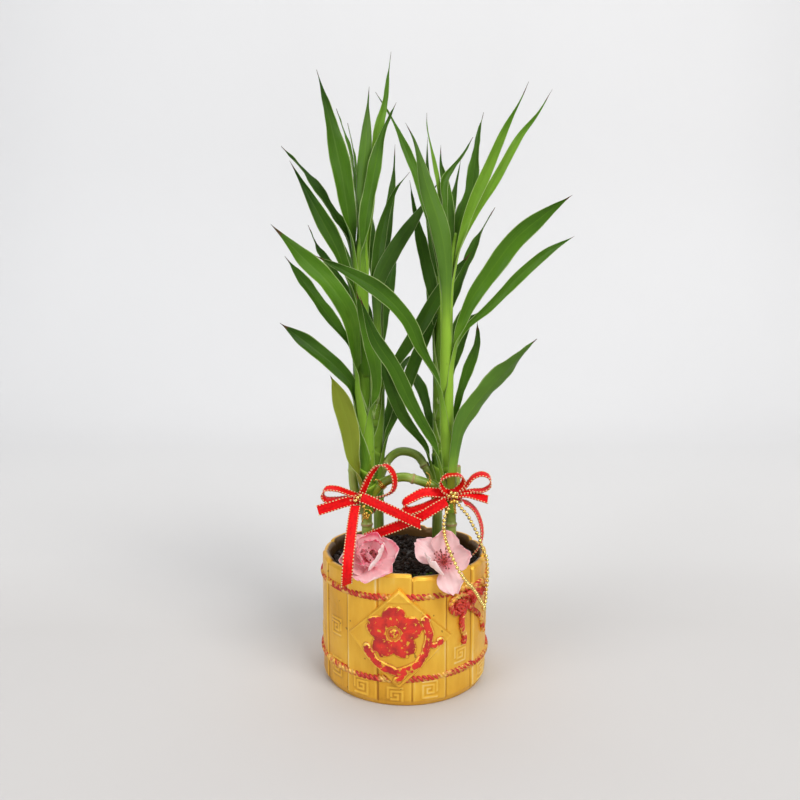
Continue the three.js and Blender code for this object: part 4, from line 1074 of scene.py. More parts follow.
# %% Plants
ARCHES = {
    "front": {
        "cane": [(-22.2, -13, 38), (-22.2, -13, 82), (-22.3, -13, 101), (-19.8, -13, 109.5),
                 (-12.3, -13.5, 117.8), (-5.8, -14, 120.5), (0, -14, 121.1), (4.7, -14, 120.1),
                 (15.1, -14, 116.4), (20.7, -13.5, 111.9), (26.2, -13, 103), (27.3, -13, 93.2),
                 (26.8, -13, 75), (26.8, -13, 38)],
        "nodes": [0.14, 0.28, 0.518, 0.72, 0.86],
        "stubs": [
            {"way": [(-22.2, -13, 98), (-27.2, -12, 106), (-30.3, -11, 116),
                     (-30.6, -10.6, 134)], "radius": 2.8},
            {"way": [(27.2, -13, 98), (28.6, -9.6, 108), (30.6, -7.6, 118),
                     (30.9, -7.2, 127)], "radius": 2.6},
        ],
    },
    "back": {
        "cane": [(-16.2, 11, 38), (-16.2, 11, 82), (-16.3, 11, 103), (-15.2, 11, 116), (-11.6, 11, 124.4),
                 (-7.5, 12, 129.4), (-2.9, 13, 131.6), (2.7, 13, 131.3), (8.4, 12, 128.8),
                 (12.6, 11, 122.8), (17.4, 11, 114), (20.2, 11, 103), (20.5, 11, 82), (20.5, 11, 38)],
        "nodes": [0.17, 0.3, 0.425, 0.575, 0.72, 0.86],
        "stubs": [],
    },
}
SHOOTS = {
    ("front", "left"): {
        "axis": [(-22, -13, 100), (-22, -13.5, 125), (-24, -14, 167), (-25.6, -14, 207), (-25, -14, 247),
                 (-24, -13, 292)],
        "girth": [(100, 3.4), (118, 5), (167, 5.2), (207, 5), (247, 4.4), (280, 2.4), (292, 0.8)],
        "leaves": [
            (240, 6.4, -60, [(-19.5, -9, 282), (-16, -7, 318), (-12, -4, 335), (-10, -1, 351),
                             (-8, 2, 367)]),
            (236, 12.4, -75, [(-34, -18, 285), (-39, -20, 311), (-44, -22, 332), (-48, -24, 347)]),
            (252, 5, -20, [(-29.5, -5, 296), (-33, -1, 314), (-40, 4, 336)]),
            (256, 3.4, 10, [(-28.4, 1, 292), (-30, 6, 310), (-34, 11, 330)]),
            (250, 8.4, 85, [(-24, -17.5, 288), (-22, -18, 308), (-21, -17, 325), (-20, -16, 341)]),
            (228, 9, -108, [(-22, -21.5, 266), (-17.8, -22, 290), (-12.6, -19.5, 314), (-5, -15, 333)]),
            (232, 8, -40, [(-34, -11, 262), (-43, -10, 276), (-55, -8, 294), (-71, -6, 312)]),
            (214, 10.6, -70, [(-37, -21, 249), (-47, -25, 269), (-56, -28, 286), (-62, -32, 297)]),
            (160, 12, -80, [(-31, -22, 213), (-42, -25, 232), (-56, -29, 246), (-72, -36, 263)]),
            (170, 8.6, -60, [(-31, -10, 196), (-40, -10, 209), (-54, -8, 228), (-70, -6, 250)]),
            (196, 8.4, -50, [(-32, -4, 221), (-43, 0, 242), (-51, 4, 254), (-58, 8, 270)]),
            (148, 10.4, -80, [(-30.5, -15.5, 174), (-39, -16, 185), (-53, -18, 197), (-71, -20, 211)]),
            (105, 12.4, -85, [(-30, -20, 132), (-31.5, -22, 149), (-36, -26, 166), (-40, -30, 178),
                              (-41.5, -32, 182)]),
            (148, 8.6, -100, [(-16, -22, 172), (-16.5, -24.5, 186), (-20.5, -26, 205), (-27, -28, 228)]),
        ],
    },
    ("front", "right"): {
        "axis": [(26.9, -13, 100), (26, -13.5, 125), (24, -14, 167), (24, -14, 207), (24.4, -14, 235),
                 (29, -12.5, 262)],
        "girth": [(100, 3.2), (118, 4.6), (167, 4.2), (207, 3.7), (235, 3.1), (262, 1)],
        "leaves": [
            (218, 6.6, -75, [(15, -11, 266), (9, -10, 287), (2, -7, 306), (-6, -3, 325), (-17, 0, 344)]),
            (200, 11.6, 100, [(23, -20, 241), (20, -22, 261), (12, -24, 285), (5, -26, 309),
                              (0, -28, 318)]),
            (226, 3.4, -60, [(20, -4, 285), (17, 1, 305), (13, 5, 326), (13, 8, 335)]),
            (222, 8, -90, [(25, -7, 272), (23.5, -4, 290), (21, 0, 303), (21, 3, 315)]),
            (228, 6.4, -50, [(21.5, -15.5, 276), (21.5, -14, 290), (27, -11, 299), (33, -8, 307),
                             (39, -6, 317)]),
            (232, 8.4, -120, [(31, -7.5, 268), (38, -4, 286), (41, -2, 308), (43, 1, 321), (46, 4, 334)]),
            (226, 7, -80, [(35, -16, 270), (46, -17, 296), (55, -17, 317), (64, -18, 334), (68, -18, 343)]),
            (234, 6.2, -70, [(40, -9, 273), (53, -6, 295), (66, -2, 318), (77, 1, 332), (86, 4, 347)]),
            (176, 12, -75, [(35, -20, 219), (48, -23, 240), (61, -25, 257), (78, -26, 271),
                            (91, -28, 280)]),
            (180, 7.6, -60, [(35, -7, 207), (50, -2, 221), (68, 3, 239), (86, 7, 254), (103, 12, 264)]),
            (108, 12.6, 105, [(27.6, -20.8, 124), (28.4, -21.4, 132), (29.8, -22.2, 142),
                              (32.6, -23.8, 153.4), (39, -26, 164.6), (50, -31, 178.7), (58.7, -36, 188.9),
                              (70.5, -40, 202)]),
            (140, 7.2, -70, [(31.5, -9, 168), (36, -6.5, 182), (42, -4, 198), (43, -2, 212)]),
            (150, 9.8, -80, [(17, -23, 180), (8, -28, 197), (1, -32, 212), (-15, -38, 228),
                             (-47, -50, 245)]),
            (105, 8.8, -85, [(19.4, -19, 130), (16, -21.5, 142), (8.1, -25, 157), (2.6, -28, 167),
                             (-5.8, -32, 185), (-16.5, -36, 202), (-21.6, -39.5, 216), (-24.4, -42, 225)]),
        ],
    },
    ("back", "left"): {
        "axis": [(-16.3, 11, 98), (-17.5, 11.5, 125), (-17, 12, 167), (-17, 13, 207), (-15.5, 14, 240)],
        "girth": [(98, 3.2), (118, 4.4), (167, 4.4), (207, 3.6), (240, 1.2)],
        "leaves": [
            (190, 8.4, -100, [(-17, 13, 240), (-13, 14, 271), (-6, 15, 291), (3, 16, 303)]),
            (192, 10, 85, [(-16, 8, 236), (-7, 4, 254), (7, 5, 275), (21, 5, 296)]),
            (116, 8.6, -85, [(-11, 8, 140), (-2, 7, 165), (9, 9, 195), (22, 12, 220)]),
            (148, 9.4, -80, [(-12, 9, 176), (-5, 7.5, 188), (7, 6.5, 206), (22, 6, 231), (40, 4, 254)]),
            (140, 10, -60, [(-20, 23, 168), (-26, 34, 192), (-34, 44, 214), (-42, 52, 222)]),
            (168, 10.4, -110, [(-15, 24, 200), (-12, 36, 226), (-8, 46, 246), (-5, 54, 256)]),
            (184, 9, -45, [(-24, 20, 218), (-34, 26, 246), (-44, 32, 268), (-52, 36, 282)]),
            (200, 8.4, -80, [(-18, 20, 238), (-22, 27, 268), (-26, 32, 292), (-30, 36, 312)]),
            (120, 9.6, -120, [(-11, 20, 146), (-6, 32, 168), (0, 42, 184), (6, 50, 192)]),
            (204, 7, -100, [(-13.5, 17, 244), (-10, 20, 276), (-7, 23, 300), (-6, 26, 322)]),
        ],
    },
    ("back", "right"): {
        "axis": [(20.2, 11, 98), (21, 11.5, 125), (21.5, 12, 167), (21.5, 13, 207), (20, 14, 240)],
        "girth": [(98, 3.2), (118, 4.4), (167, 4.2), (207, 3.4), (240, 1.2)],
        "leaves": [
            (110, 8.4, -90, [(12, 7, 136), (-1, 4, 155), (-10, 1, 178), (-16, -1, 198)]),
            (186, 9, -85, [(17, 13, 228), (11, 13, 255), (6, 13, 278), (3, 12, 297)]),
            (160, 8, -95, [(27, 16, 190), (33, 19, 208), (40, 21, 222), (47, 23, 233)]),
            (196, 7, -110, [(26, 14, 232), (30.4, 16, 252), (35, 18, 268), (42, 20, 281)]),
            (140, 10.4, -120, [(27, 23, 170), (34, 34, 194), (42, 43, 212), (50, 50, 220)]),
            (170, 10, -75, [(20, 25, 204), (18, 38, 230), (15, 48, 250), (13, 56, 260)]),
            (188, 9.4, -130, [(29, 21, 222), (40, 27, 250), (50, 33, 272), (58, 37, 286)]),
            (200, 8, -100, [(23, 21, 240), (27, 28, 270), (32, 33, 296), (36, 38, 316)]),
            (118, 9.6, -60, [(17, 21, 144), (11, 33, 166), (5, 43, 180), (0, 52, 186)]),
            (206, 7, -85, [(18.5, 17, 246), (16, 20, 278), (14, 22, 304), (14, 25, 326)]),
        ],
    },
}

# %% [markdown]
# A living green is never one colour. Leaf tissue is light and yellowish where it is young or folded,
# deep where it is old, paler underneath, with faint veins side by side along the blade and sometimes a
# dry tip. A thin pale line along each edge is a painted highlight. Each leaf carries its own numbers
# for these, and the finish mixes them.

# %% Leaf finish
UNDER_SKIN = {"Subsurface_Radius": (0.5, 1.0, 0.2), "Subsurface_Scale": 0.002}
YELLOWED, EDGE_HIGHLIGHT_PALE, DRIED = (0.27, 0.3, 0.03), (0.5, 0.6, 0.26), (0.1, 0.05, 0.022)


def leaf_finish(name, deep, mid, light, under):
    made, tree = new_finish(name)
    uv = own_uv(tree)
    off = abs(apart(uv)["X"] - 0.5)
    cloud = noise(place(tree), 55.0)
    veins = noise(mapped(uv, (46.0, 0.05, 1.0)), 1.0, 2.0)
    tone = number(tree, "tone") + cloud * 0.34 + veins * 0.22 - 0.28
    colour = ramp(tone, [(0.0, deep), (0.5, mid), (1.0, light)])
    colour = blend(number(tree, "yellow"), colour, YELLOWED)
    colour = blend(number(tree, "under") * 0.3, colour, under)
    # A thin pale line along the edges: a painted highlight where the edge catches the light.
    colour = blend(ramp(off, [(0.455, 0.0), (0.485, 0.6)]), colour, EDGE_HIGHLIGHT_PALE)
    colour = blend(ramp(off, [(0.0, 0.1), (0.04, 0.0)]), colour, light)
    dry = number(tree, "dry") + cloud * 0.4
    colour = blend(ramp(dry, [(0.62, 0.0), (0.8, 1.0)]), colour, DRIED)
    return painted(made, Base_Color=colour, Roughness=wander(veins, 0.36, 0.48), Specular_IOR_Level=0.15,
                   Normal=bump(veins, 0.00018, 0.5), Subsurface_Weight=0.05, **UNDER_SKIN)


LEAF_FRONT = leaf_finish("leaf_green", (0.02, 0.06, 0.003), (0.084, 0.205, 0.01), (0.3, 0.52, 0.045),
                         (0.16, 0.26, 0.07))
LEAF_BACK = leaf_finish("leaf_dark", (0.014, 0.042, 0.003), (0.055, 0.135, 0.009), (0.2, 0.34, 0.03),
                        (0.1, 0.17, 0.05))

# %% [markdown]
# A leaf of this plant is one long strip. Its foot wraps round the shoot as a sheath, and higher up the
# strip opens, turns its face to the light and tapers to a thin tip. So one rule makes all 48: a line
# for the midrib, a curved section whose bend eases off from the sheath to the blade, and a width.

# %% Leaf rule
SHEATH = {"long": 38.0, "thicken": 0.024, "core": 0.78, "low": 2.9, "high": 1.1, "knee": 10.0, "rows": 12}
BLADE_OUTLINE = [(0, 0.52), (0.12, 0.5), (0.26, 0.7), (0.42, 0.95), (0.54, 1), (0.66, 0.88), (0.77, 0.6),
                 (0.85, 0.3), (0.9, 0.16), (0.95, 0.09), (1, 0.04)]
BLUNT_OUTLINE = [(0, 0.46), (0.14, 0.48), (0.3, 0.66), (0.46, 0.88), (0.6, 1), (0.74, 0.98), (0.83, 0.78),
                 (0.9, 0.46), (0.95, 0.22), (1, 0.05)]
BLUNT_BELOW = 182
BLADE = {"rows": 64, "columns": 13, "thick": 0.5, "edge": 0.16, "wave": 0.95, "wave_long": 29.0,
         "fold": 1.35, "rib": 0.3, "ruffle": 0.22}
WORLD_UP = np.array([0, 0, 1.0])


def mix(first, second, share):
    return first * (1 - share) + second * share


def outline_at(share, outline):
    """A blade's width as a share of its widest, with the table's corners rounded off."""
    spread = [rows_at(outline, share + d) for d in (-0.04, -0.02, 0, 0.02, 0.04)]
    return sum(spread) / len(spread) * min(1, max(1 - share, 0) / 0.07) ** 0.7


class Column:
    """The upright middle of a shoot, read by height."""

    def __init__(self, row):
        self.route = Route(row["axis"])
        self.girth = row["girth"]

    def at(self, height):
        line = self.route.line
        return np.array([np.interp(height, line[:, 2], line[:, k]) for k in range(3)])

    def core(self, height):
        return rows_at(self.girth, height) * SHEATH["core"]


def section(half, bend, columns):
    """A strip's section: its offsets to the side and upwards, for a half width and a bend."""
    across = np.linspace(-1, 1, columns) * half
    if bend < 1e-4:
        return across, np.zeros(columns)
    return np.sin(bend * across) / bend, (1 - np.cos(bend * across)) / bend


def midrib(column, height, way, draw):
    """A leaf's middle line with its sheath, the sheath's length and the direction away from the shoot."""
    long = min(SHEATH["long"] * draw.uniform(0.85, 1.1), height - column.route.line[0, 2] + 5)
    knee = column.at(height + SHEATH["knee"])
    outward = unit((np.array(way[0]) - knee) * [1, 1, 0])
    foot = height - long
    sunk = lambda z: 0.7 * (1 - smooth(z, foot, foot + min(long, 9)))
    reach = lambda z: column.core(z) + SHEATH["thicken"] * (z - foot) + 0.05 * draw.random() - sunk(z)
    sheath = [column.at(z) + outward * reach(z) for z in np.linspace(foot, height, 4)]
    girth = rows_at(column.girth, height + SHEATH["knee"])
    return Route([*sheath, knee + outward * (girth + 0.5), *way]), long, outward


class Leaf:
    """One leaf. A share goes along all of it, b along its blade alone, and w across it from -1 to 1."""

    def __init__(self, column, row, seed):
        self.column = column
        self.height, self.wide, face, way = row
        draw = random.Random(seed)
        self.middle, self.long, self.outward = midrib(column, self.height, way, draw)
        self.collar = self.long / self.middle.length
        self.facing = unit(np.array([math.cos(math.radians(face)), math.sin(math.radians(face)), 0.25]))
        self.phase, self.speed = draw.uniform(0, 6.28), draw.uniform(0.85, 1.2)
        self.twist, self.fold = draw.uniform(-0.3, 0.3), draw.uniform(0.8, 1.35)
        self.outline = BLUNT_OUTLINE if self.height < BLUNT_BELOW else BLADE_OUTLINE

    def directions(self, share, b):
        """Which way the strip's upper face and its side point."""
        heading = self.middle.heading(share)
        up = unit(mix(-self.outward, self.facing, smooth(b, 0.0, 0.42)))
        up = unit(up - heading * up.dot(heading))
        return up, np.cross(heading, up)

    def form(self, share, b, settle):
        """Half the strip's width, and how sharply it bends round its middle."""
        open_half = self.wide / 2 * outline_at(max(b, 0), self.outline)
        radius = self.column.core(self.height) + SHEATH["thicken"] * self.long
        low = mix(SHEATH["high"], SHEATH["low"], min(1, self.long / 26))
        wrap = radius * mix(low, SHEATH["high"], np.clip(share / self.collar, 0, 1))
        z = self.middle.point(share)[2]
        above_foot = max(min(z, self.height) - self.height + self.long, 0)
        wrapped = self.column.core(z) + SHEATH["thicken"] * above_foot + 0.01
        opened = BLADE["fold"] - 0.7 * smooth(b, 0.12, 0.55) + 0.35 * smooth(b, 0.8, 1)
        bend = mix(1 / wrapped, self.fold * opened / max(open_half, 0.4), settle)
        return mix(wrap, open_half, smooth(b, -0.08, 0.15)), bend

    def waves(self, run, b, w):
        """How far the blade's edges wave up and down, and how far its rib is pressed in."""
        swell = BLADE["wave"] * smooth(b, 0.12, 0.4) * min(1, self.wide / 9) * (1 - smooth(b, 0.9, 1))
        turn = 2 * math.pi * run / BLADE["wave_long"] * self.speed + self.phase + 1.9 * w
        ruffle = BLADE["ruffle"] * abs(w) ** 3 * np.sin(run * 0.62 * self.speed + 4 * self.phase + 2.2 * w)
        rib = BLADE["rib"] * np.exp(-((w / 0.12) ** 2)) * smooth(b, 0.0, 0.2)
        return swell * (w**2 * np.sin(turn) + ruffle) - rib

    def across(self, share, w):
        """The points, normals and thickness of one row across the strip."""
        b = (share - self.collar) / (1 - self.collar)
        settle = smooth(b, 0.0, 0.26)
        up, side = self.directions(share, b)
        half, bend = self.form(share, b, settle)
        x, y = section(half, bend, len(w))
        y = y + self.waves(share * self.middle.length, b, w)
        roll = self.twist * smooth(b, 0.3, 1.0)
        x, y = x * math.cos(roll) - y * math.sin(roll), x * math.sin(roll) + y * math.cos(roll)
        tilt = mix(bend * w * half, np.arctan(np.gradient(y, x + 1e-6 * w)), settle)
        points = self.middle.point(share) + x[:, None] * side + y[:, None] * up
        normals = up * np.cos(tilt)[:, None] - side * np.sin(tilt)[:, None]
        thick = mix(BLADE["edge"], BLADE["thick"], 1 - w**4) * (1 - 0.6 * smooth(b, 0.5, 1))
        return points, normals, np.minimum(thick, 0.12 + half * 0.5)


def leaf(shape, column, row, seed, light, foot_light, tip, yellow):
    """Adds one leaf from its sheath to its tip, with the numbers that its finish reads."""
    made = Leaf(column, row, seed)
    w = np.linspace(-1, 1, BLADE["columns"])
    sheath = np.linspace(0, made.collar, SHEATH["rows"])[:-1]
    shares = np.concatenate([sheath, np.linspace(made.collar, 1, BLADE["rows"] - len(sheath))])
    points, normals, thick = (np.array(rows) for rows in zip(*(made.across(share, w) for share in shares)))
    uvs = np.stack(np.broadcast_arrays(w / 2 + 0.5, shares[:, None] * made.middle.length), -1)
    blade = np.clip((shares - made.collar) / (1 - made.collar), 0, 1)[:, None] + 0 * w
    tone = light + foot_light * (1 - smooth(blade, 0.0, 0.34)) - 0.22 * smooth(blade, 0.6, 0.95)
    shaded = 0.75 * smooth(blade, 0.0, 0.3)
    shape.sheet(points, normals, thick, uvs, tone=tone, dry=smooth(blade, 0.97 - 0.1 * tip, 1.0),
                yellow=yellow, under=np.append(0 * shaded, shaded))


# %% [markdown]
# A shoot is its core, the sheaths of fallen leaves round its foot, and its leaves. The front plant's
# right column is the brightest, and one of its leaves has gone yellow. Leaves low on a shoot are older
# and darker, and some tips have dried.

# %% Shoots
BARE = {"apart": 9.5, "long": 15.0, "rows": 10, "columns": 25, "half_turn": 2.9, "thick": 0.4,
        "edge": 0.12, "slant": 5.5}


def round_bar(shape, route, radius_at, steps, sides, **numbers):
    """Adds a round bar that closes to a point where its radius goes to nothing."""
    points, faces, uvs = tube(route, radius_at, even(steps), sides)
    shape.add(points, faces, uvs, **numbers)


def leafy_shoot(name, row, finish, slot, light, seed, foot=0.4, tips=(), yellow=(), tones=None):
    column = Column(row)
    shape = Shape()
    low, high = column.route.line[0, 2], column.route.line[-1, 2]
    core = lambda share: column.core(column.route.point(share)[2])
    round_bar(shape, column.route, core, 90, 20, tone=light + foot * 0.7)
    draw = random.Random(seed)
    lowest = min(leaf_row[0] for leaf_row in row["leaves"])
    for height in np.arange(low + 9, lowest + 26, BARE["apart"]):
        turn = math.radians(draw.uniform(0, 360))
        bare_sheath(shape, column, height, turn, light + foot * draw.uniform(0.4, 0.9))
        draw.randrange(999)  # Keeps its place among the draws, so that the leaves stay as they were chosen.
    for k, leaf_row in enumerate(row["leaves"]):
        share = (leaf_row[0] - lowest) / max(high - lowest, 1)
        own = light + 0.06 * share + draw.uniform(-0.07, 0.07) + (tones or {}).get(k, 0)
        tip = 1.0 if k in tips else draw.random()
        leaf(shape, column, leaf_row, seed * 100 + k, own, foot, tip, 0.75 if k in yellow else 0.0)
    return finished(shape.piece(name, finish), slot=slot)


def bare_sheath(shape, column, top, turn, tone):
    """The sheath that is left of a fallen leaf: a wrap with a slanting, thin upper edge."""
    long, columns, rows = BARE["long"], BARE["columns"], BARE["rows"]
    points, normals = np.zeros((2, rows, columns, 3))
    for j, w in enumerate(np.linspace(-1, 1, columns)):
        a = turn + w * BARE["half_turn"]
        out = np.array([math.cos(a), math.sin(a), 0])
        crest = top - BARE["slant"] * (abs(w) ** 1.3)
        for i, u in enumerate(np.linspace(0, 1, rows)):
            z = top - long + (crest - top + long) * u
            radius = column.core(z) + SHEATH["thicken"] * (u * long) + 0.35 + 0.25 * smooth(u, 0.8, 1)
            points[i, j] = column.at(z) + out * radius
            normals[i, j] = out
    thick = np.full((rows, columns), BARE["thick"])
    thick[-1] = BARE["edge"]
    across, along = np.linspace(0.06, 0.94, columns), np.linspace(0, long, rows)[:, None]
    pale = np.zeros((rows, columns))
    pale[-2:] = [[0.4], [1.0]]
    uvs = np.stack(np.broadcast_arrays(across, along), -1)
    shape.sheet(points, normals, thick, uvs, tone=tone + 0.6 * pale)


SHOOT_LOOKS = {
    ("front", "left"): {
        "light": 0.34, "foot": 0.34, "tips": (8, 11), "yellow": (12,), "seed": 1,
        "tones": {0: 0.25, 1: -0.12, 2: 0.1, 5: 0.05, 6: -0.16, 7: -0.14, 8: 0.12, 9: -0.1, 10: -0.16,
                  11: -0.2, 13: 0.05}},
    ("front", "right"): {
        "light": 0.37, "foot": 0.58, "tips": (11,), "seed": 2,
        "tones": {0: 0.05, 1: 0.12, 2: 0.25, 3: -0.12, 4: -0.05, 5: -0.12, 6: 0.2, 7: 0.26, 8: -0.02,
                  9: -0.04, 10: 0.1, 11: -0.1, 13: -0.08}},
    ("back", "left"): {"light": 0.4, "seed": 3},
    ("back", "right"): {"light": 0.4, "seed": 4},
}
for (plant, side), look in SHOOT_LOOKS.items():
    finish, slot = (LEAF_FRONT, "leaf_green") if plant == "front" else (LEAF_BACK, "leaf_dark")
    made = leafy_shoot(f"shoot_{plant}_{side}", SHOOTS[plant, side], finish, slot, **look)
    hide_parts(f"plant_{plant}")

# %% [markdown]
# The canes are smooth green rods with a raised ring at each joint, where a leaf once sat. The ring has
# a thin brown scar, and the skin pales around it. The stubs were cut, and their cut ends have dried.

# %% Canes
CANE = {"leg": 3.2, "arch": 2.7, "ring": 0.5, "ring_long": 1.0, "dip": 0.18, "rows": 420, "sides": 24}
CANE_GIRTH = [(0.3, CANE["leg"]), (0.42, CANE["arch"]), (0.6, CANE["arch"]), (0.72, CANE["leg"])]
STUB_ROWS = 60


def cane_finish(name, deep, light, scar):
    made, tree = new_finish(name)
    streak = noise(mapped(own_uv(tree), (26.0, 0.06, 1.0)), 1.0)
    tone = streak * 0.5 + noise(place(tree), 90.0) * 0.5
    pale = tuple((a + b) / 2 for a, b in zip(light, (0.5, 0.5, 0.2)))
    colour = ramp(tone, [(0.32, deep), (0.68, light)])
    colour = blend(number(tree, "scar"), blend(number(tree, "pale"), colour, pale), scar)
    return painted(made, Base_Color=colour, Roughness=wander(streak, 0.3, 0.42), Specular_IOR_Level=0.5,
                   Normal=bump(streak, 0.0001, 0.4), Subsurface_Weight=0.06, **UNDER_SKIN)


CANE_FRONT = cane_finish("cane_green", (0.1, 0.19, 0.01), (0.29, 0.42, 0.03), (0.4, 0.19, 0.1))
CANE_BACK = cane_finish("cane_olive", (0.09, 0.15, 0.012), (0.25, 0.35, 0.04), (0.16, 0.08, 0.03))


def bell(x, wide):
    """A soft bump: 1 at nothing, and almost gone at twice its width."""
    return math.exp(-((x / wide) ** 2))


def cane(shape, points, nodes):
    """A bent cane with a ring at each node, and a shallow dip beside the ring."""
    route = Route(points)
    off = lambda share: min(abs(share - at) * route.length for at in nodes)

    def radius(share):
        near = off(share)
        rise = CANE["ring"] * bell(near, CANE["ring_long"]) - CANE["dip"] * bell(near - 1.7, 0.5)
        return rows_at(CANE_GIRTH, share) + rise

    shares, sides = even(CANE["rows"]), CANE["sides"]
    points, faces, uvs = tube(route, radius, shares, sides)
    scar = [bell(off(share), 0.45) for share in shares]
    pale = [0.7 * bell(off(share), 3.2) for share in shares]
    spread = lambda values: np.concatenate([np.repeat(values, sides), values[:1], values[-1:]])
    shape.add(points, faces, uvs, scar=spread(scar), pale=spread(pale))


def stub(shape, row):
    """A cut side shoot with a dried, slightly sunk end."""
    route = Route(row["way"])
    end = 1 - 0.9 / route.length

    def radius(share):
        return row["radius"] + 0.3 * bell((share - 0.75) * route.length, 1.0) - 0.5 * smooth(share, end, 1)

    points, faces, uvs = tube(route, radius, even(STUB_ROWS), CANE["sides"])
    points[-1] = points[-1] - route.heading(1) * 0.5
    dried = [0.85 * float(share > end + 0.004) for share in even(STUB_ROWS)]
    shape.add(points, faces, uvs, scar=np.append(np.repeat(dried, CANE["sides"]), [0, 1]), pale=0.55)


for plant, finish, slot in (("front", CANE_FRONT, "leaf_green"), ("back", CANE_BACK, "leaf_dark")):
    shape = Shape()
    row = ARCHES[plant]
    cane(shape, row["cane"], row["nodes"])
    for stub_row in row["stubs"]:
        stub(shape, stub_row)
    finished(shape.piece(f"cane_{plant}", finish), f"plant_{plant}", slot=slot)

# %% [markdown]
# Two ribbon bows sit on the front arch. A real bow is one ribbon folded into loops and cinched by a
# turn of itself, so each loop is a strip that leaves the knot and comes back to it. The knot is the
# ribbon gathered into pleats, with a small cluster of gold beads pinned on, and a turn round the cane.

# %% Ribbon bows
BOWS = {
    "left": {
        "knot": (-25.6, -20.6, 110.4),
        "ring": {"middle": (-24.6, -12.4, 103.4), "x": 7.4, "y": 8.4, "rise": 5.8},
        "strips": [
            ([(-26, -20.6, 110.8), (-33.5, -22, 114), (-39.6, -24, 116.5), (-45.1, -26, 116.7),
              (-47.4, -26, 113.8), (-45.8, -25, 110.6), (-40, -22.6, 109.6), (-34, -21, 110),
              (-26, -20.6, 110.2)], [(0.1, 1, 0.3), (0.1, 1, 0.3)]),
            ([(-25.6, -20.8, 110.8), (-22.5, -21.6, 118.5), (-19.1, -21.4, 125), (-15.3, -21, 128.9),
              (-11, -20.6, 129), (-7.3, -20.4, 125.2), (-5.9, -20.4, 120.2), (-7, -20.4, 114.6),
              (-11.6, -20.6, 111.6), (-18, -20.8, 110.4), (-25, -20.6, 110.4)],
             [(0.7, 0.7, 0.1), (0.3, 1, -0.3)]),
            ([(-26.5, -21.4, 109.7), (-34.5, -24.6, 108.7), (-42.3, -27, 106.8), (-49.6, -28.4, 104.8)],
             [(0, 0, 1), (0, 0.1, 1)]),
        ],
        "beads": [(-1.6, 0.6), (0.2, 1.9), (1.9, 0.4), (0.4, -1.5), (-2.8, -1.2), (2.6, -1.9)],
    },
    "right": {
        "knot": (27.4, -20.8, 112.6),
        "ring": {"middle": (25.8, -12.4, 107.6), "x": 7.8, "y": 8.8, "rise": 3},
        "strips": [
            ([(27, -21, 112.6), (21.9, -22.6, 115.8), (20.4, -23, 120.5), (24.2, -22.6, 123.8),
              (29.2, -22, 124.4), (33.6, -21.4, 122.2), (33.1, -21, 118.1), (28, -21, 113.4)],
             [(0.5, 1, 0.2), (-0.5, 1, 0.2)]),
            ([(28, -20.8, 113.4), (35, -20.4, 117.4), (39.6, -20, 122.4), (44.4, -20, 124.2),
              (48.6, -20, 122.4), (49.4, -20, 117.7), (45.8, -20, 114.9), (38.8, -20.4, 114.4),
              (28.6, -20.8, 112.8)], [(0.1, 1, 0.5), (0.1, 1, 0.1)]),
            ([(27, -20.8, 112.4), (17.9, -21.6, 113.6), (10.9, -22.6, 113.9), (5.1, -24, 111.6),
              (-0.3, -24.4, 108.3), (-1.3, -24.2, 106), (1.7, -23.4, 103.4), (8.6, -22.4, 104.8),
              (17.9, -21.4, 108.7), (26, -20.8, 111.8)], [(0, 0.5, 1), (0.1, 1, 0.3)]),
            ([(28.2, -21.2, 112.4), (35.1, -22.4, 113.2), (41.5, -22.6, 111.6), (47.6, -22.6, 109.8)],
             [(0, 1, 0.6), (0, 1, 0.9)]),
        ],
        "beads": [(-0.9, 1.4), (1.3, 1.0), (0.1, -0.7), (-2.4, -0.6), (2.2, -1.3)],
    },
}
KNOT = {"size": (3.1, 2.4, 2.9), "pleats": 7, "pleat": 0.16, "sides": 56, "turn_wide": 3.6}
KNOT_BEAD = {"radius": 1.2, "sides": 16, "front": 3.1}


def ball(shape, middle, radius, sides=20, stretch=(1, 1, 1), ripple_by=None):
    """Adds a closed round body, with an optional ripple of its radius by (turn, rise)."""
    rows = sides // 2 + 1
    points = []
    for i in range(rows):
        rise = math.pi * i / (rows - 1)
        for j in range(sides):
            turn = 2 * math.pi * j / sides
            r = radius * (1 + (ripple_by(turn, rise) if ripple_by else 0))
            out = np.array([math.sin(rise) * math.cos(turn), math.sin(rise) * math.sin(turn), math.cos(rise)])
            points.append(np.array(middle) + out * r * np.array(stretch))
    points[:sides] = [np.mean(points[:sides], 0)] * sides
    points[-sides:] = [np.mean(points[-sides:], 0)] * sides
    last = (rows - 1) * sides
    faces = [(0, *face[2:]) if face[0] < sides else face for face in grid_faces(rows, sides, ring=True)]
    faces = [tuple(dict.fromkeys(min(i, last) for i in face)) for face in faces]
    shape.add(np.array(points), [face for face in faces if len(face) > 2])


def pleats(turn, rise):
    return KNOT["pleat"] * abs(math.sin(KNOT["pleats"] / 2 * turn + 0.6 * math.cos(rise))) * math.sin(rise)


def ring_way(row):
    cx, cy, cz = row["middle"]
    turns = np.linspace(-1.2, 2 * math.pi - 1.0, 26)
    return [(cx + row["x"] * math.cos(t), cy + row["y"] * math.sin(t), cz - row["rise"] * math.sin(t))
            for t in turns]


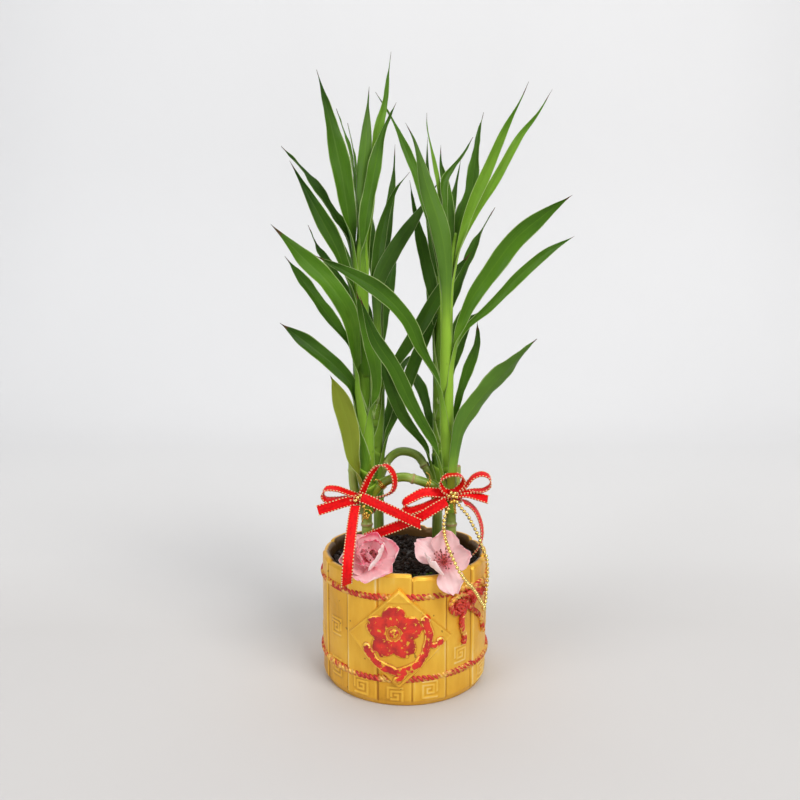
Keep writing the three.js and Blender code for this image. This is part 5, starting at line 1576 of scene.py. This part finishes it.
for side, bow in BOWS.items():
    shape, beads, lines = Shape(), Shape(), []
    for points, turns in bow["strips"]:
        lines += strip(shape, points, turns)[1]
    lines += strip(shape, ring_way(bow["ring"]), [(0, 0.1, 1)] * 2, wide=KNOT["turn_wide"])[1]
    ball(shape, bow["knot"], 1.0, KNOT["sides"], KNOT["size"], pleats)
    finished(shape.piece(f"ribbon_bow_{side}_satin", RED_SATIN), f"ribbon_bow_{side}", slot="ribbon")
    finished(stitched(f"ribbon_bow_{side}_stitches", lines), slot="ribbon")
    x, y, z = bow["knot"]
    for right, up in bow["beads"]:
        spot = (x + right, y - KNOT_BEAD["front"] + 0.25 * math.hypot(right, up), z + up)
        ball(beads, spot, KNOT_BEAD["radius"], KNOT_BEAD["sides"])
    finished(beads.piece(f"knot_beads_{side}", GOLD_BEAD), slot="gold_bead")

# %% [markdown]
# The two blossoms are of stiffened cloth: plum blossoms with cupped petals. A petal is a thin sheet by
# a formula, from the bloom's middle outwards, with a few creases and a ruffled edge. One side of each
# petal lies over the next. The dye is deepest near the middle and, on the left bloom, at the edge.

# %% Petal finish
def petal_finish(name, heart, field, edge):
    made, tree = new_finish(name)
    grain = noise(mapped(own_uv(tree), (34.0, 0.35, 1.0)), 1.0, 2.0)
    reach = number(tree, "reach") + noise(place(tree), 220.0) * 0.16
    colour = ramp(reach, [(0.12, heart), (0.5, field), (0.86, field), (1.0, edge)])
    colour = blend(number(tree, "pale"), blend(grain * 0.2, colour, heart), (0.95, 0.7, 0.68))
    weave = node(tree, "ShaderNodeTexVoronoi", {"Vector": place(tree), "Scale": 2600.0})["Distance"]
    return painted(made, Base_Color=colour, Roughness=wander(grain, 0.5, 0.66), Sheen_Weight=0.15,
                   Normal=bump(weave + grain, 0.00005, 0.5), Subsurface_Weight=0.15,
                   Subsurface_Radius=(1.0, 0.4, 0.35), Subsurface_Scale=0.003)


def plain_finish(name, low, high, scale, roughness):
    made, tree = new_finish(name)
    cloud = noise(place(tree), scale)
    return painted(made, Base_Color=ramp(cloud, [(0.35, low), (0.65, high)]),
                   Roughness=wander(cloud, roughness, roughness + 0.14), Normal=bump(cloud, 0.00008, 0.5))


PETALS_DEEP = petal_finish("petal_pink", (0.95, 0.13, 0.22), (1.0, 0.56, 0.6), (0.86, 0.05, 0.15))
PETALS_PALE = petal_finish("petal_pale", (0.8, 0.22, 0.28), (0.9, 0.57, 0.57), (0.87, 0.44, 0.46))
STEM_GREEN = plain_finish("stem_green", (0.04, 0.11, 0.015), (0.12, 0.22, 0.04), 300.0, 0.5)
STAMEN_RED = plain_finish("stamen_red", (0.55, 0.06, 0.07), (0.8, 0.24, 0.2), 900.0, 0.5)
STAMEN_DARK = plain_finish("stamen_tip", (0.1, 0.012, 0.01), (0.3, 0.06, 0.03), 900.0, 0.55)

# %% Blossoms
# A petal row holds its turn, length, width, the slope it starts with, how far it bends over (both in
# degrees), its lift off the middle and how pale it is.
BLOSSOMS = {
    "left": {
        "middle": (-20.2, -40.6, 79.6), "facing": (0.12, -0.68, 0.73), "cup_top": -0.4, "seat": 2.0,
        "stem": [(-19.8, -40, 79), (-19.5, -35.6, 72), (-19.5, -34.5, 52)],
        "petals": [(14, 19.5, 16, 8, 54, 0, 0.3), (76, 17, 15, 14, 58, 0, 0.1), (136, 18, 16, 8, 48, 0, 0.45),
                   (196, 19.5, 16, 6, 44, 0, 0.6), (254, 20.5, 17, 4, 52, 0, 0.5),
                   (312, 19.5, 15, 6, 60, 0, 0.35), (44, 15, 15, 26, 78, 1.0, 0.0),
                   (112, 14, 14.5, 26, 84, 1.0, 0.1),
                   (186, 13.5, 14.5, 22, 78, 1.0, 0.1), (256, 15, 14.5, 22, 74, 1.0, 0.0),
                   (322, 17.5, 18, 30, 96, 0.9, 1.0), (84, 9, 10, 46, 84, 2.0, 0.0),
                   (204, 9, 10, 44, 92, 2.0, 0.1)],
        "stamens": {"count": 14, "long": 6.2, "spread": 0.7}, "finish": PETALS_DEEP, "slot": "petal_pink",
    },
    "right": {
        "middle": (21.7, -41, 78.2), "facing": (-0.1, -0.72, 0.68), "cup_top": -0.4, "seat": 0.9,
        "stem": [(21.5, -39.6, 78.8), (20, -34.6, 72), (19.5, -33.2, 52)],
        "petals": [(12, 17, 14, 12, 32, 0, 0.1), (88, 19, 15, 18, 30, 0, 0.0),
                   (150, 20.5, 15.5, 6, 26, 0, 0.25), (218, 18, 17, 8, 125, 0.4, 1.0),
                   (290, 20, 14.5, 18, -26, 0, 0.4)],
        "stamens": {"count": 36, "long": 7.4, "spread": 1.25}, "finish": PETALS_PALE, "slot": "petal_pale",
    },
}
PETAL = {"overlap": 1.1, "thick": 0.34, "rows": 30, "columns": 27, "close": 0.16, "crease": 0.4}
PETAL_OUTLINE = [(0, 0.16), (0.25, 0.56), (0.5, 0.96), (0.65, 1.04), (0.82, 0.98), (0.94, 0.78), (1, 0.56)]
STAMEN = {"foot": 0.19, "tip": 0.05, "head": 0.42, "leans": (1.0, 0.35, 0.7, 0.15, 0.85)}


def wobble(seed):
    """A repeatable number from -1 to 1 for each seed."""
    wave = math.sin(seed * 12.9898) * 43758.5453
    return 2 * (wave - math.floor(wave)) - 1


def bloom_frame(bloom):
    """A bloom's middle and three directions: the way it faces, right and up."""
    facing = unit(np.array(bloom["facing"], float))
    right = unit(np.cross(WORLD_UP, facing))
    return np.array(bloom["middle"]), facing, right, np.cross(facing, right)


def petal_creases(u, w, phase):
    """How far a petal's cloth stands off its smooth form: ruffles, a middle crease and fine folds."""
    off = 0.6 * u**4 * np.sin(5.2 * w + phase) + 0.22 * u**3 * np.sin(13 * w + 2 * phase)
    return off - PETAL["crease"] * u * np.exp(-((w / 0.12) ** 2)) + 0.14 * u * np.sin(17 * w + phase)


def petal(shape, bloom, row, index):
    """One petal, where u goes out from the bloom's middle and w goes across."""
    turn, long, wide, slope, over, lift, pale = row
    middle, facing, right, up = bloom_frame(bloom)
    out = right * math.cos(math.radians(turn)) + up * math.sin(math.radians(turn))
    side = np.cross(facing, out)
    u, w = np.meshgrid(np.linspace(0, 1, PETAL["rows"]), np.linspace(-1, 1, PETAL["columns"]), indexing="ij")
    phase = 2.1 * index + long
    far = u * (1 - (0.06 + 0.1 * u * u) * w * w) - 0.04 * u**6 * np.exp(-((w / 0.2) ** 2))
    far = far + 0.018 * u**5 * np.sin(9 * w + phase)
    fine = np.linspace(0, 1, 80)
    bent = np.radians(slope + over * fine**1.25)
    run, rise = (np.append(0, np.cumsum(f(bent[1:]))) * long / (len(fine) - 1) for f in (np.cos, np.sin))
    run, rise, angle = (np.interp(far, fine, values)[..., None] for values in (run, rise, bent))
    wide = wide * np.interp(u, *zip(*PETAL_OUTLINE))
    off = PETAL["close"] * wide * w * w * u + PETAL["overlap"] * w * u + petal_creases(u, w, phase)
    stand = np.cos(angle) * facing - np.sin(angle) * out
    points = middle + lift * facing + off[..., None] * stand
    points = points + run * out + (w * wide / 2)[..., None] * side + rise * facing
    normal = np.cross(np.gradient(points, axis=0), np.gradient(points, axis=1))
    normal /= np.maximum(np.linalg.norm(normal, axis=-1, keepdims=True), 1e-9)
    uvs = np.stack([w / 2 + 0.5, u * long], -1)
    back = np.full(u.size, min(1, pale + 0.35))
    shape.sheet(points, normal, PETAL["thick"] * (1 - 0.4 * u), uvs, pale=np.append(pale * u, back),
                reach=np.clip(u * (1 + 0.06 * w * w), 0, 1))


def green_cup(shape, bloom):
    middle, facing, _, _ = bloom_frame(bloom)
    foot, top = middle - facing * 3.4, middle + facing * (bloom["cup_top"] - 0.6)
    round_bar(shape, Route([foot, (foot + top) / 2, top]), lambda u: 1.2 + 1.9 * u**0.7, 10, 20)
    round_bar(shape, Route(bloom["stem"]), lambda u: 0.8 + 0.06 * math.sin(40 * u), 40, 12)


def stamen_cluster(threads, tips, bloom):
    middle, facing, right, up = bloom_frame(bloom)
    foot = middle + facing * bloom["seat"]
    ball(threads, foot + facing * 0.3, 1.3, 20)
    row = bloom["stamens"]
    for k in range(row["count"]):
        turn = 2 * math.pi * k / row["count"] + 0.2 * wobble(k + 3)
        lean = row["spread"] * STAMEN["leans"][k % 5]
        way = unit(facing + lean * (right * math.cos(turn) + up * math.sin(turn)))
        start = foot + facing * 0.6
        end = start + way * row["long"] * (1 + 0.12 * wobble(k + 7))
        bend = (start + end) / 2 + (right * wobble(k) + up * wobble(k + 50)) * 0.35 + facing * 0.3
        round_bar(threads, Route([start, bend, end]), lambda u: STAMEN["foot"] - STAMEN["tip"] * u, 8, 8)
        ball(tips, end, STAMEN["head"], 10, (1, 1, 1.25))


for side, bloom in BLOSSOMS.items():
    petals, stem, threads, tips = Shape(), Shape(), Shape(), Shape()
    for index, row in enumerate(bloom["petals"]):
        petal(petals, bloom, row, index)
    green_cup(stem, bloom)
    stamen_cluster(threads, tips, bloom)
    finished(petals.piece(f"petals_{side}", bloom["finish"]), f"blossom_{side}", slot=bloom["slot"])
    finished(stem.piece(f"blossom_stem_{side}", STEM_GREEN), f"blossom_{side}", slot="leaf_dark")
    finished(threads.piece(f"stamen_threads_{side}", STAMEN_RED), f"stamens_{side}", slot="stamen")
    finished(tips.piece(f"stamen_tips_{side}", STAMEN_DARK), f"stamens_{side}", slot="stamen")

# %% [markdown]
# Gold wire holds the bows. It is wound twice round the arch beside each bow, and short ends of it, with
# beads, hang under the knots. Wound wire is a helix, so its line is worked out by a loop.

# %% Gold wire
WIRE = {"radius": 0.32, "coil": 3.05, "turns": 2.3, "pitch": 0.85, "steps": 40, "sides": 10}
WIRE_TIES = {
    "left": {"middle": (-13.6, -13.3, 116.6), "heading": (0.7, 0, 0.7),
             "end": [(-16.6, -17.4, 120.4), (-18.4, -18, 119.6)]},
    "right": {"middle": (13.6, -13.9, 117), "heading": (0.93, 0, -0.36),
              "end": [(14.4, -16, 122.4), (12.4, -16.6, 124.4)]},
}
SPRAY_WIRES = [[(-23.6, -24.6, 106.6), (-23.4, -24.8, 104), (-23.6, -25, 101.6), (-24.6, -24.8, 96.9)],
               [(-23.5, -24.8, 104.4), (-21, -25.4, 104.6), (-19, -25.6, 103)]]
SPRAY_BEADS = [((-23.6, -24.6, 106.2), 1.1, 18), ((-19, -25.6, 102.6), 0.6, 12)]
SPRAY_FLOWER = {"middle": (-22.4, -25.2, 100.8), "petals": 5, "spread": 1.5, "petal": 0.92,
                "heart": (-22.4, -25.9, 100.8), "heart_radius": 0.7}
TWIST_BEADS = [((28, -25, 109.4), 1.2, 18), ((26.4, -25, 108.8), 1.0, 18)]
TWIST = {"top": (28, -25, 109), "lean": 1.0, "drop": 7.0, "turns": 2.2, "coil": 0.42, "steps": 24,
         "radius": 0.34}


def wire(shape, points, radius=WIRE["radius"], steps=None):
    route = Route(points, fine=12)
    round_bar(shape, route, lambda u: radius, steps or max(8, int(route.length / 0.5)), WIRE["sides"])


def wound(row):
    """The wire's line round the arch, from its inner side round to its loose end."""
    heading = unit(np.array(row["heading"], float))
    side = unit(np.cross(heading, (0, 1, 0)))
    up = np.cross(heading, side)
    line = []
    for share in even(WIRE["steps"]):
        turn = math.pi * 0.9 - 2 * math.pi * WIRE["turns"] * (1 - share)
        drift = WIRE["pitch"] * WIRE["turns"] * (share - 0.5)
        out = side * math.cos(turn) + up * math.sin(turn)
        line.append(np.array(row["middle"]) + out * WIRE["coil"] + heading * drift)
    return line


def twisted(phase):
    """One of the two wires that wind round each other below the knot."""
    line = []
    for share in even(TWIST["steps"]):
        turn = phase + 2 * math.pi * TWIST["turns"] * share
        x, y, z = TWIST["top"]
        x, z = x + TWIST["lean"] * share, z - TWIST["drop"] * share
        line.append((x + TWIST["coil"] * math.cos(turn), y + TWIST["coil"] * math.sin(turn), z))
    return line


for side, row in WIRE_TIES.items():
    shape = Shape()
    wire(shape, [*wound(row), *row["end"]], steps=190)
    finished(shape.piece(f"wire_tie_{side}_coil", GOLD_WIRE), f"wire_tie_{side}", slot="gold_wire")

spray = Shape()
for points in SPRAY_WIRES:
    wire(spray, points)
for bead in SPRAY_BEADS:
    ball(spray, *bead)
x, y, z = SPRAY_FLOWER["middle"]
for k in range(SPRAY_FLOWER["petals"]):
    turn = math.radians(360 / SPRAY_FLOWER["petals"] * k + 10)
    spot = (x + SPRAY_FLOWER["spread"] * math.cos(turn), y, z + SPRAY_FLOWER["spread"] * math.sin(turn))
    ball(spray, spot, SPRAY_FLOWER["petal"], 14, (1, 0.6, 1))
ball(spray, SPRAY_FLOWER["heart"], SPRAY_FLOWER["heart_radius"], 14)
finished(spray.piece("gold_spray_sprig", GOLD_WIRE), "gold_spray_left", slot="gold_wire")

twist = Shape()
for bead in TWIST_BEADS:
    ball(twist, *bead)
for phase in (0, math.pi):
    wire(twist, twisted(phase), TWIST["radius"])
finished(twist.piece("gold_twist_wires", GOLD_WIRE), "gold_twist_right", slot="gold_wire")

# %% [markdown]
# The floor is a plain pale sweep that curves up behind, so that no horizon shows. The light is a soft
# studio light: a big panel above the front right, a weaker one from the left, one from above behind,
# and a pale surround.

# %% Floor
SWEEP = {"wide": 9.0, "front": -4.0, "back": 0.9, "bend": 0.8, "tall": 3.6, "steps": 16}
PAPER_TONES = [(0.05, (0.59, 0.575, 0.565)), (0.14, (0.655, 0.645, 0.638)), (0.3, (0.7, 0.693, 0.688)),
               (0.6, (0.76, 0.757, 0.757)), (1.0, (0.86, 0.86, 0.865))]
PAPER_BEHIND = (0.785, 0.785, 0.79)


def sweep_floor():
    bend, back = SWEEP["bend"], SWEEP["back"]
    profile = [(SWEEP["front"], 0.0), (0.0, 0.0), (back, 0.0)]
    for share in even(SWEEP["steps"])[1:]:
        a = math.pi / 2 * share
        profile.append((back + bend * math.sin(a), bend * (1 - math.cos(a))))
    profile.append((back + bend, SWEEP["tall"]))
    points = [(x, y, z) for y, z in profile for x in (-SWEEP["wide"] / 2, SWEEP["wide"] / 2)]
    mesh = bpy.data.meshes.new("studio_floor")
    mesh.from_pydata(points, [], grid_faces(len(profile), 2, flip=True))
    mesh.polygons.foreach_set("use_smooth", [True] * len(mesh.polygons))
    return linked("studio_floor", mesh)


def floor_finish():
    """Paper that is lighter towards the back, and evens out behind the plant."""
    made, tree = new_finish("floor_paper")
    spot = apart(place(tree))
    depth = spot["Y"] * 0.6 + noise(place(tree), 3.0) * 0.04
    middle = ramp(abs(spot["X"]), [(0.3, 1.0), (1.0, 0.15)])
    behind = middle * ramp(depth, [(0.5, 0.0), (0.8, 1.0)])
    return painted(made, Base_Color=blend(behind, ramp(depth, PAPER_TONES), PAPER_BEHIND), Roughness=0.9,
                   Specular_IOR_Level=0.1)


floor = sweep_floor()
floor.data.materials.append(floor_finish())

# %% Light
LIGHTS = {
    "key_panel": {"at": (1.5, -1.9, 2.0), "size": 1.4, "power": 60.0, "colour": (1.0, 0.985, 0.96)},
    "left_panel": {"at": (-2.2, -1.7, 1.3), "size": 1.4, "power": 30.0, "colour": (0.97, 0.985, 1.0)},
    "top_panel": {"at": (0.0, 0.1, 2.6), "size": 1.6, "power": 28.0, "colour": (1.0, 1.0, 1.0)},
}
AIM = (0.0, 0.0, 0.16)
SURROUND = {"Color": (0.93, 0.95, 1.0, 1), "Strength": 0.26}

world = bpy.data.worlds.new("studio")
bpy.context.scene.world = world
world.use_nodes = True
feed(world.node_tree.nodes["Background"], SURROUND)

for name, row in LIGHTS.items():
    data = bpy.data.lights.new(name, "AREA")
    data.size = row["size"]
    data.energy = row["power"]
    data.color = row["colour"]
    lamp = linked(name, data)
    lamp.location = row["at"]
    away = unit(np.array(row["at"]) - np.array(AIM))
    lamp.rotation_euler = (math.acos(away[2]), 0, math.atan2(away[1], away[0]) + math.pi / 2)
bpy.context.scene.view_settings.view_transform = "Standard"
